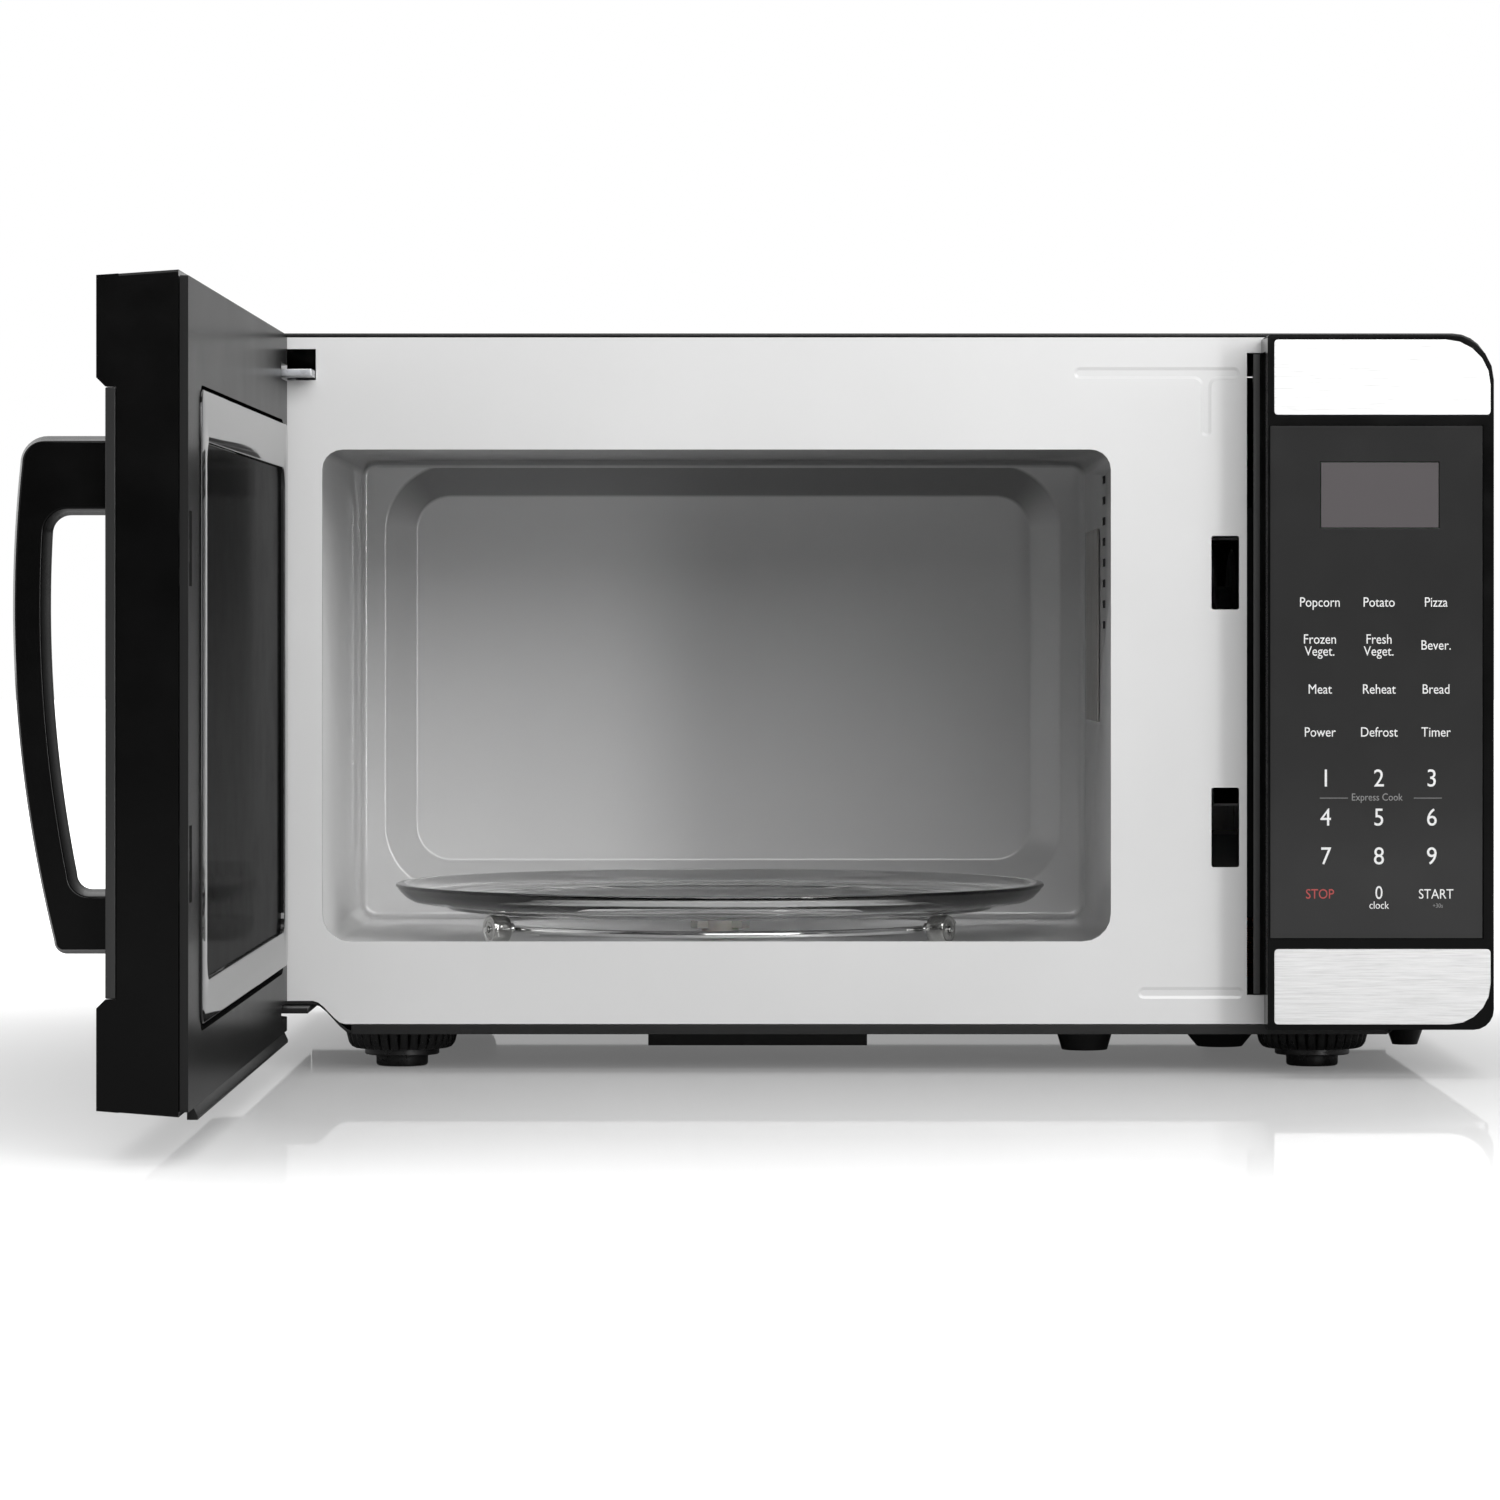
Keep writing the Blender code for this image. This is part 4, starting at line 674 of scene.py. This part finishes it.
def make_cavity():
    """The liner as a drawn shell: rounded corners, and a back wall with its stamped panel."""
    middle = (CAVITY_LOW + CAVITY_HIGH) / 2
    wide = (CAVITY_HIGH.x - CAVITY_LOW.x) / 2 - SHEET
    high = (CAVITY_HIGH.z - CAVITY_LOW.z) / 2 - SHEET
    stamp = 0.0080
    back = CAVITY_HIGH.y - SHEET - stamp
    stamp_low, stamp_high = 0.0550, 0.2462
    outer_wide, outer_high, outer_up = 0.1510, (stamp_high - stamp_low) / 2, (stamp_high + stamp_low) / 2
    outer_radius, inner_radius = 0.0300, 0.0172
    slope, roll, roll_depth = 0.0150, 0.0022, 0.0012
    wall_radius, corner = 0.0040, 0.0030
    rings = [(wide, high, wall_radius, 0.0, CAVITY_LOW.y)]
    for step in range(6):
        turn = math.radians(90 * step / 5)
        inset = corner * (1 - math.cos(turn))
        depth = back - corner * (1 - math.sin(turn))
        rings.append((wide - inset, high - inset, wall_radius + corner - inset, 0.0, depth))
    lift = outer_up - middle.z
    for step in range(5):
        share = step / 4
        inset = roll * share
        rings.append((outer_wide - inset, outer_high - inset, outer_radius - inset,
                      lift, back + roll_depth * share * share))
    for step in range(5):
        share = step / 4
        inset = slope - roll + roll * share
        rings.append((outer_wide - inset, outer_high - inset, inner_radius - roll * share,
                      lift, back + stamp - roll_depth * (1 - share) ** 2))
    placed = [
        [(middle.x + across, depth, middle.z + up + height)
         for across, height in rounded_ring(half_wide, half_high, radius, 14)]
        for half_wide, half_high, radius, up, depth in rings
    ]
    cavity = new_piece("cooking_cavity", lofted(placed, open_start=True), "cavity_liner", CAVITY_ENAMEL_PAINTED_SHADE,
                       replaces=("cavity_liner",))
    shade(cavity, 50.0)
    wall = cavity.modifiers.new("sheet", "SOLIDIFY")
    wall.thickness = SHEET
    wall.offset = 1.0
    return cavity


def hole_cutter(name, shape):
    """A hidden shape that takes a hole out of a piece."""
    cutter = mesh_object(name, shape)
    cutter.hide_render = True
    cutter.hide_viewport = True
    return cutter


def cut(obj, cutter):
    change = obj.modifiers.new("cut", "BOOLEAN")
    change.operation = "DIFFERENCE"
    change.object = cutter


def drill_cavity(cavity):
    """The column of lamp holes with a painted shadow behind them, the waveguide's opening and the shaft's
    hole.
    """
    wall = CAVITY_HIGH.x - SHEET
    lamp_low, lamp_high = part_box("lamp_bulb")
    lamp = (lamp_low + lamp_high) / 2
    count, lowest, pitch = 8, 0.1742, 0.0087
    half_long, half_high, gap = 0.0120, 0.0017, 0.0001
    holes, hole_shadows = [], []
    for index in range(count):
        height = lowest + pitch * index
        slot = [(lamp.y + y, height + z) for y, z in rounded_ring(half_long, half_high, half_high, 4)]
        holes.append(slab(slot, "X", wall - 0.004, wall + 0.004))
        # A dark slab just behind each hole: painted shadow seen through the lamp grille.
        back = rounded_ring(half_long - gap, half_high - gap, half_high - gap, 4)
        hole_shadows.append(slab([(lamp.y + y, height + z) for y, z in back], "X", wall + 0.0002, wall + 0.0008))
    new_piece("lamp_grille_shadow", merged(hole_shadows), "interlock_bracket", SHADED_DUSTY_BLACK, body="cabinet")
    cover_low, cover_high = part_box("waveguide_cover")
    margin = 0.0105
    guide = [
        (cover_low.y + margin, cover_low.z + margin), (cover_high.y - margin, cover_low.z + margin),
        (cover_high.y - margin, cover_high.z - margin), (cover_low.y + margin, cover_high.z - margin),
    ]
    holes.append(slab(guide, "X", wall - 0.003, wall + 0.003))
    shaft = lathe([(0.0, 0.004), (0.0062, 0.004), (0.0062, -0.004), (0.0, -0.004)], 32)
    holes.append(moved(shaft, Matrix.Translation((TABLE_CENTRE.x, TABLE_CENTRE.y, CAVITY_LOW.z))))
    cut(cavity, hole_cutter("cavity_holes", merged(holes)))


# Inner side of the door


def make_inner_panel():
    """The door's inner panel: a rounded ring just proud of its cover, dished for the dark pane."""
    panel_low, panel_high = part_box("door_inner_panel")
    pane_low, pane_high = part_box("window_pane")
    face = panel_high.x + 0.0013
    flange = face - 0.0007
    floor = face - 0.0015
    body = ((panel_low.y, panel_low.z), (panel_high.y, panel_high.z), 0.0055)
    ring_low = (panel_low.y - 0.0025, panel_low.z - 0.0005)
    ring_high = (panel_high.y + 0.0135, panel_high.z + 0.0015)
    ring = (ring_low, ring_high, 0.0065)
    dish = ((pane_low.y - 0.0094, pane_low.z), (pane_high.y + 0.0284, pane_high.z - 0.0005), 0.0080)
    fillet, gap = 0.0005, 0.0002
    steps = [(body, 0.0003, panel_low.x), (body, 0.0003, flange), (ring, 0.0, flange)]
    for step in range(5):
        turn = math.radians(90 * step / 4)
        steps.append((ring, fillet * (1 - math.cos(turn)), face - fillet * (1 - math.sin(turn))))
    for step in range(5):
        turn = math.radians(90 * step / 4)
        steps.append((dish, fillet * (math.sin(turn) - 1), face - fillet * (1 - math.cos(turn))))
    steps.append((dish, 0.0, floor - 0.0010))

    def rounded(low, high, radius, inset):
        middle = ((low[0] + high[0]) / 2, (low[1] + high[1]) / 2)
        half = ((high[0] - low[0]) / 2 - inset, (high[1] - low[1]) / 2 - inset)
        return [(middle[0] + across, middle[1] + up) for across, up in rounded_ring(*half, radius - inset, 8)]

    rings = [[(depth, *point) for point in rounded(*box, inset)] for box, inset, depth in steps]
    panel = new_piece("dished_inner_panel", lofted(rings), "door_inner_panel", DOOR_ENAMEL,
                      replaces=("door_inner_panel",))
    shade(panel, 40.0)
    outline = rounded(*dish, gap)
    pane = new_piece("dark_window", slab(outline, "X", floor - 0.0008, floor), "window_pane", DARK_PANE,
                     replaces=("window_pane",))
    shade(pane)
    soften(pane, 0.0002)


# Turntable


ROLLER_ANGLES = (90, 210, 330)


def make_turntable():
    """The glass plate: pressed steps towards its rim, and a ring underneath for the rollers."""
    low, high = TABLE_LOW.z, TABLE_HIGH.z
    radius = (TABLE_HIGH.x - TABLE_LOW.x) / 2
    top = [
        (0.0, low + 0.0042), (0.0600, low + 0.0042), (0.0985, low + 0.0042), (0.1000, low + 0.0044),
        (0.1014, low + 0.0051), (0.1030, low + 0.0053), (0.1090, low + 0.0054), (0.1106, low + 0.0056),
        (0.1122, low + 0.0064), (0.1140, low + 0.0066), (0.1205, low + 0.0068), (0.1240, low + 0.0072),
        (0.1272, low + 0.0082), (0.1298, high - 0.0014), (0.1316, high - 0.0004), (0.1330, high),
    ]
    rim = [(radius - 0.0008 + x, high - 0.0010 + z) for x, z in arc((0.0, 0.0), 0.0008, 75, -60, 6)]
    under = [
        (0.1336, high - 0.0032), (0.1310, low + 0.0050), (0.1282, low + 0.0034), (0.1240, low + 0.0027),
        (0.1180, low + 0.0025), (0.1160, low + 0.0022), (0.1146, low + 0.0012), (0.1130, low + 0.0002),
        (0.1112, low), (0.0900, low), (0.0884, low + 0.0002), (0.0876, low + 0.0006), (0.0600, low + 0.0006),
        (0.0, low + 0.0006),
    ]
    shape = moved(lathe(top + rim + under, 360), Matrix.Translation((TABLE_CENTRE.x, TABLE_CENTRE.y, 0.0)))
    plate = new_piece("turntable_plate", shape, "glass_turntable", replaces=("glass_turntable",))
    shade(plate, 60.0)


def make_roller_ring():
    """The plated wire ring, with a stub axle and its collar at each roller."""
    roller_low, roller_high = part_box("roller_1")
    height = (roller_low.z + roller_high.z) / 2
    wire = 0.0014
    track = (roller_low.y + roller_high.y) / 2 - TABLE_CENTRE.y
    radius = track - 0.0075
    shapes = [lathe([(radius + x, z) for x, z in arc((0.0, 0.0), wire, 90, -255, 23)], 180)]
    lie = Matrix.Rotation(math.radians(90), 4, "Y")
    stub = [(0.0, 0.0070), (0.0007, 0.0070), (0.0011, 0.0066), (0.0011, -0.0066), (0.0, -0.0066)]
    collar = [(0.0, 0.0012), (0.0021, 0.0012), (0.0024, 0.0009), (0.0024, -0.0012), (0.0, -0.0012)]
    for angle in ROLLER_ANGLES:
        turn = Matrix.Rotation(math.radians(angle), 4, "Z")
        shapes.append(moved(lathe(stub, 20), turn @ Matrix.Translation((radius + 0.0062, 0.0, 0.0)) @ lie))
        shapes.append(moved(lathe(collar, 24), turn @ Matrix.Translation((radius + 0.0017, 0.0, 0.0)) @ lie))
    whole = moved(merged(shapes), Matrix.Translation((TABLE_CENTRE.x, TABLE_CENTRE.y, height)))
    ring = new_piece("roller_ring_wire", whole, "roller_ring", replaces=("roller_ring",))
    shade(ring, 40.0)


def make_rollers():
    """Each roller: a crowned tread, a dished face and a hub around its axle."""
    half = 0.0040
    reach = 0.0060
    face = [
        (0.0015, half), (0.0026, half), (0.0030, half - 0.0004), (0.0042, half - 0.0006),
        (0.0050, half - 0.0002), (0.0055, half - 0.0002), (reach - 0.0002, half - 0.0008),
        (reach, half - 0.0018),
    ]
    profile = face + [(radius, -height) for radius, height in reversed(face)]
    lie = Matrix.Rotation(math.radians(90), 4, "Y")
    for index, angle in enumerate(ROLLER_ANGLES, 1):
        name = f"roller_{index}"
        low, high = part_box(name)
        place = Matrix.Translation((low + high) / 2) @ Matrix.Rotation(math.radians(angle), 4, "Z") @ lie
        shape = moved(lathe(profile, 48), place)
        wheel = new_piece(f"{name}_wheel", shape, name, ROLLER_GLOSS, replaces=(name,))
        shade(wheel, 30.0)


# Feet


def ribbed(radius, height, angle, ribs, depth, low, high):
    """A radius that dips between vertical ribs, but only between two heights."""
    if not low <= height <= high:
        return radius
    wave = abs(math.sin(angle * ribs / 2)) ** 0.6
    return radius - depth * (1 - wave)


def make_feet():
    """Moulded feet: a ribbed conical skirt, a disc, and the pad that stands on the worktop."""
    for name in ("foot_front_left", "foot_front_right", "foot_rear_left", "foot_rear_right"):
        low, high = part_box(name)
        middle = (low + high) / 2
        top = high.z
        profile = [
            (0.0, top), (0.0224, top), (0.0225, top - 0.0002), (0.0221, top - 0.0012), (0.0216, top - 0.0030),
            (0.0211, top - 0.0050), (0.0206, 0.0086), (0.0198, 0.0076), (0.0186, 0.0071), (0.0175, 0.0070),
            (0.0147, 0.0070), (0.0147, 0.0049), (0.0143, 0.0045), (0.0104, 0.0045), (0.0102, 0.0030),
            (0.0102, 0.0010), (0.0099, 0.0003), (0.0093, 0.0), (0.0, 0.0),
        ]

        def reach(radius, height, angle, skirt=(0.0074, top - 0.0011)):
            return ribbed(radius, height, angle, 32, 0.0015, *skirt)

        shape = moved(lathe(profile, 320, reach), Matrix.Translation((middle.x, middle.y, 0.0)))
        foot = new_piece(name.replace("foot_", "ribbed_foot_"), shape, name, replaces=(name,))
        shade(foot, 40.0)


# Door handle


def drafted(outline, distance, foot):
    """A clockwise outline moved inwards, apart from the ends that stand on the foot."""
    moved_in = []
    for index, (across, up) in enumerate(outline):
        before = outline[index - 1]
        after = outline[(index + 1) % len(outline)]
        way = Vector((after[0] - before[0], after[1] - before[1])).normalized()
        if across == foot:
            moved_in.append((across, up - distance * math.copysign(1.0, way.x) if abs(way.x) > 0.1 else up))
        else:
            moved_in.append((across + way.y * distance, up - way.x * distance))
    return moved_in


def make_handle():
    """The bow handle, widest at its parting line and drafted towards both its sides."""
    low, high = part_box("door_handle")
    foot = high.x
    reach = high.x - low.x
    thick = 0.0124
    crest, fall = 0.1800, 1.13
    arm_low, arm_high = 0.0880, 0.2096
    draft = 0.0020

    def outside(height):
        return foot - reach + fall * (height - crest) ** 2

    def inside(height):
        return outside(height) + thick

    def edge(side, start, end, pieces):
        heights = [start + (end - start) * step / pieces for step in range(pieces + 1)]
        return [(side(height), height) for height in heights]

    top, bottom, inner_high, inner_low = 0.0090, 0.0042, 0.006, 0.005
    top_corner = arc((outside(high.z - top) + top, high.z - top), top, 180, 90, 10)
    low_corner = arc((outside(low.z + bottom) + bottom, low.z + bottom), bottom, 270, 180, 8)
    high_bend, low_bend = arm_high - inner_high, arm_low + inner_low
    inner_top_corner = arc((inside(high_bend) + inner_high, high_bend), inner_high, 90, 180, 8)
    inner_low_corner = arc((inside(low_bend) + inner_low, low_bend), inner_low, 180, 270, 8)
    outline = [(foot, low.z)] + low_corner + edge(outside, low.z + bottom, high.z - top, 28)[1:-1]
    outline += top_corner + [(foot, high.z), (foot, arm_high)] + inner_top_corner
    outline += edge(inside, high_bend, low_bend, 22)[1:-1] + inner_low_corner + [(foot, arm_low)]
    side = drafted(outline, draft, foot)
    rings = [
        [(across, depth, up) for across, up in points]
        for points, depth in ((side, low.y), (outline, (low.y + high.y) / 2), (side, high.y))
    ]
    handle = new_piece("bow_handle", lofted(rings), "door_handle", replaces=("door_handle",))
    shade(handle, 30.0)
    soften(handle, 0.0005, 3, 30.0)


# Printed labels


WORD_HEIGHT = 0.0036
DIGIT_HEIGHT = 0.0065
WORD_SQUEEZE = 0.87
DIGIT_SQUEEZE = 0.92
PRINT_LIFT = 0.0004
PRINT_DEPTH = TOUCH_LOW.y - 0.00005
PRINT_THICKNESS = 0.00002
WORD_COLUMNS = (0.1756, 0.1983, 0.2202)
DIGIT_COLUMNS = (0.1779, 0.1983, 0.2186)
WORD_ROWS = (
    (0.1825, ("Popcorn", "Potato", "Pizza")),
    (0.1683, ("Frozen", "Fresh", None)),
    (0.1637, ("Veget.", "Veget.", None)),
    (0.1660, (None, None, "Bever.")),
    (0.1491, ("Meat", "Reheat", "Bread")),
    (0.1326, ("Power", "Defrost", "Timer")),
)
DIGIT_ROWS = ((0.1149, "123"), (0.0999, "456"), (0.0850, "789"))


def cap_share():
    """How high a capital letter stands, as a share of the text's size."""
    curve = bpy.data.curves.new("capital", "FONT")
    curve.body = "H"
    curve.size = 1.0
    probe = bpy.data.objects.new("capital", curve)
    bpy.context.scene.collection.objects.link(probe)
    bpy.context.view_layer.update()
    share = probe.dimensions.y
    bpy.data.objects.remove(probe, do_unlink=True)
    return share


def word(text, across, up, height, share, squeeze=WORD_SQUEEZE):
    """A printed word as a thin raised solid, its capitals' middle at (across, up)."""
    curve = bpy.data.curves.new("word", "FONT")
    curve.body = text
    curve.size = height / share
    curve.align_x = "CENTER"
    curve.extrude = PRINT_THICKNESS
    curve.resolution_u = 4
    source = bpy.data.objects.new("word", curve)
    bpy.context.scene.collection.objects.link(source)
    bpy.context.view_layer.update()
    mesh = bpy.data.meshes.new_from_object(source.evaluated_get(bpy.context.evaluated_depsgraph_get()))
    bpy.data.objects.remove(source, do_unlink=True)
    shape = bmesh.new()
    shape.from_mesh(mesh)
    bpy.data.meshes.remove(mesh)
    bmesh.ops.remove_doubles(shape, verts=shape.verts, dist=1e-7)
    stand = Matrix.Rotation(math.radians(90), 4, "X")
    narrow = Matrix.Diagonal((squeeze, 1.0, 1.0, 1.0))
    place = Matrix.Translation((CABINET_MIDDLE + across, PRINT_DEPTH, up + PRINT_LIFT - height / 2))
    return moved(shape, place @ stand @ narrow)


def dash(across, up):
    """A thin printed line between two X positions."""
    half = 0.00012
    left, right = (CABINET_MIDDLE + end for end in across)
    outline = [(left, up - half), (right, up - half), (right, up + half), (left, up + half)]
    return slab(outline, "Y", PRINT_DEPTH - PRINT_THICKNESS, PRINT_DEPTH + PRINT_THICKNESS)


def make_labels():
    """The keypad's words and numbers."""
    share = cap_share()
    words = [
        word(text, across, up, WORD_HEIGHT, share)
        for up, texts in WORD_ROWS
        for across, text in zip(WORD_COLUMNS, texts)
        if text
    ]
    words += [
        word(digit, across, up, DIGIT_HEIGHT, share, DIGIT_SQUEEZE)
        for up, digits in DIGIT_ROWS
        for across, digit in zip(DIGIT_COLUMNS, digits)
    ]
    words.append(word("0", DIGIT_COLUMNS[1], 0.0709, 0.0049, share))
    words.append(word("START", WORD_COLUMNS[2], 0.0704, 0.0036, share))
    words.append(word("clock", DIGIT_COLUMNS[1], 0.0661, 0.0028, share))
    new_piece("keypad_print", merged(words), "touch_panel", WHITE_INK)
    faint = [word("Express Cook", DIGIT_COLUMNS[1] - 0.0008, 0.1076, 0.0027, share)]
    faint += [dash((0.1756, 0.1864), 0.1076), dash((0.2117, 0.2224), 0.1076)]
    faint.append(word("+30s", WORD_COLUMNS[2] + 0.0007, 0.0659, 0.0016, share))
    new_piece("keypad_faint_print", merged(faint), "touch_panel", FAINT_INK)
    stop = word("STOP", WORD_COLUMNS[0], 0.0704, 0.0036, share)
    new_piece("keypad_stop_print", stop, "touch_panel", RED_INK)


# Strip beside the control panel


def make_channel_strip():
    """A thin grey strip on the tongue that the panel's housing puts in the front plate's channel."""
    left, front = PANEL_LOW.x + 0.0001, PLATE_LOW.y - 0.00085
    low, high = 0.0306, 0.2794
    section = [
        (left, front + 0.00022), (left, front + 0.00006), (left + 0.0002, front), (left + 0.0023, front),
        (left + 0.0025, front + 0.00006), (left + 0.0025, front + 0.00022),
    ]
    strip = new_piece("channel_strip", slab(section, "Z", low, high), "panel_housing", seal_moulding())
    shade(strip, 30.0)


# Screws of the back


def make_screws():
    """Pan-head screws with a cross recess, around the edge of the back."""
    low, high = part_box("rear_panel")
    across = (low.x + high.x) / 2
    margin, aside = 0.0075, 0.1200
    half = (high.x - low.x) / 2 - margin
    places = [(across + side * half, up) for side in (-1, 1) for up in (0.0300, 0.1500, 0.2700)]
    places += [(across - aside, high.z - margin), (across + aside, high.z - margin), (across, low.z + margin)]
    profile = [
        (0.0, 0.0021), (0.0012, 0.0020), (0.0024, 0.0016), (0.0033, 0.0008), (0.0035, 0.0002), (0.0, 0.0002),
    ]
    outwards = Matrix.Rotation(math.radians(-90), 4, "X")
    for index, (side, up) in enumerate(places, 1):
        head = moved(lathe(profile, 32), Matrix.Translation((side, high.y, up)) @ outwards)
        screw = new_piece(f"rear_screw_{index}", head, "upper_hinge_bracket", body="cabinet")
        shade(screw, 50.0)
        arm, reach = 0.0005, 0.0018
        bars = [slab([(side - a, up - b), (side + a, up - b), (side + a, up + b), (side - a, up + b)],
                     "Y", high.y + 0.0009, high.y + 0.0040) for a, b in ((arm, reach), (reach, arm))]
        for number, bar in enumerate(bars, 1):
            cut(screw, hole_cutter(f"recess_{index}_{number}", bar))


# Stage


def make_floor():
    """A pale floor: white to the camera with a fading mirror image, and greyer to the light."""
    finish = Finish("pale_floor", roughness=0.6, level=0.1)
    finish.colour(finish.blended(finish.noise(2.0), grey(0.76), grey(0.78)))
    finish.shader.inputs["Emission Color"].default_value = (1.0, 1.0, 1.0, 1.0)
    mirror = finish.node("ShaderNodeBsdfGlossy")
    mirror.inputs["Roughness"].default_value = 0.03
    reach = finish.node("ShaderNodeVectorMath", operation="LENGTH")
    finish.link(finish.place, reach.inputs[0])
    share = finish.between(reach.outputs["Value"], 0.36, 0.0, 0.28, 0.66)
    glow = finish.between(reach.outputs["Value"], 0.20, 1.30, 0.25, 1.50)
    finish.link(glow, finish.shader.inputs["Emission Strength"])
    polished = finish.node("ShaderNodeMixShader")
    finish.link(share, polished.inputs["Fac"])
    finish.link(finish.shader.outputs["BSDF"], polished.inputs[1])
    finish.link(mirror.outputs["BSDF"], polished.inputs[2])
    dull = finish.node("ShaderNodeBsdfDiffuse")
    dull.inputs["Color"].default_value = (0.42, 0.42, 0.42, 1.0)
    path = finish.node("ShaderNodeLightPath")
    shown = finish.node("ShaderNodeMixShader")
    finish.link(path.outputs["Is Camera Ray"], shown.inputs["Fac"])
    finish.link(dull.outputs["BSDF"], shown.inputs[1])
    finish.link(polished.outputs["Shader"], shown.inputs[2])
    finish.link(shown.outputs["Shader"], finish.tree.nodes["Material Output"].inputs["Surface"])
    mesh = bpy.data.meshes.new("floor")
    half = 12.0
    corners = [(-half, -half, 0), (half, -half, 0), (half, half, 0), (-half, half, 0)]
    mesh.from_pydata(corners, [], [(0, 1, 2, 3)])
    floor = bpy.data.objects.new("floor", mesh)
    floor.location.z = -0.0002
    bpy.context.scene.collection.objects.link(floor)
    mesh.materials.append(finish.material)


def make_world():
    """An even white surround for the camera, which lights less from the side behind the camera."""
    world = bpy.data.worlds.new("studio")
    bpy.context.scene.world = world
    world.use_nodes = True
    tree = world.node_tree
    background = tree.nodes["Background"]
    direction = tree.nodes.new("ShaderNodeTexCoord")
    split = tree.nodes.new("ShaderNodeSeparateXYZ")
    tree.links.new(direction.outputs["Generated"], split.inputs["Vector"])
    remap = tree.nodes.new("ShaderNodeMapRange")
    remap.interpolation_type = "SMOOTHSTEP"
    remap.inputs["From Min"].default_value = -0.85
    remap.inputs["From Max"].default_value = 0.35
    remap.inputs["To Min"].default_value = 0.02
    remap.inputs["To Max"].default_value = 0.70
    tree.links.new(split.outputs["Y"], remap.inputs["Value"])
    path = tree.nodes.new("ShaderNodeLightPath")
    seen = tree.nodes.new("ShaderNodeMath")
    seen.operation = "MAXIMUM"
    tree.links.new(path.outputs["Is Camera Ray"], seen.inputs[0])
    tree.links.new(remap.outputs["Result"], seen.inputs[1])
    tree.links.new(seen.outputs["Value"], background.inputs["Strength"])
    background.inputs["Color"].default_value = (1.0, 1.0, 1.0, 1.0)


def make_softbox(name, place, target, size, power):
    """A soft rectangular light that faces its target."""
    light = bpy.data.lights.new(name, "AREA")
    light.shape = "RECTANGLE"
    light.size, light.size_y = size
    light.energy = power
    obj = bpy.data.objects.new(name, light)
    obj.location = place
    obj.rotation_euler = (Vector(target) - Vector(place)).to_track_quat("-Z", "Y").to_euler()
    bpy.context.scene.collection.objects.link(obj)


def make_lights():
    """Softboxes in front, at both sides and above."""
    middle = (CABINET_MIDDLE, 0.0, 0.14)
    make_softbox("key_softbox", (0.72, -2.4, 1.20), middle, (2.4, 1.4), 55.0)
    make_softbox("strip_softbox", (1.25, -2.1, 0.30), middle, (0.25, 1.1), 15.0)
    make_softbox("left_softbox", (-2.0, -2.0, 0.9), middle, (1.2, 1.4), 10.0)
    make_softbox("right_softbox", (2.6, -1.2, 1.0), middle, (1.4, 1.8), 4.0)
    make_softbox("top_softbox", (0.0, 0.3, 2.4), middle, (2.4, 2.0), 22.0)


def make_camera():
    """Level, in front of the cavity, as far off as the front view's perspective asks."""
    camera = bpy.data.cameras.new("camera")
    camera.sensor_width = 36.0
    camera.lens = 142.2
    camera.shift_x = -0.0133
    camera.shift_y = -0.0813
    obj = bpy.data.objects.new("camera", camera)
    obj.location = (-0.0166, -2.294, 0.1729)
    obj.rotation_euler = (math.radians(90), 0.0, 0.0)
    bpy.context.scene.collection.objects.link(obj)
    bpy.context.scene.camera = obj


# Nodes that a finer piece stands for.
REPLACED = {
    "cavity_liner", "door_inner_panel", "window_pane", "glass_turntable", "roller_ring",
    "roller_1", "roller_2", "roller_3",
    "foot_front_left", "foot_front_right", "foot_rear_left", "foot_rear_right", "door_handle",
}

make_camera()
bpy.context.scene.view_settings.view_transform = "Standard"
finish_nodes(REPLACED)
make_pressings()
drill_cavity(make_cavity())
make_inner_panel()
make_turntable()
make_roller_ring()
make_rollers()
make_feet()
make_handle()
make_labels()
make_channel_strip()
make_screws()
make_floor()
make_world()
make_lights()
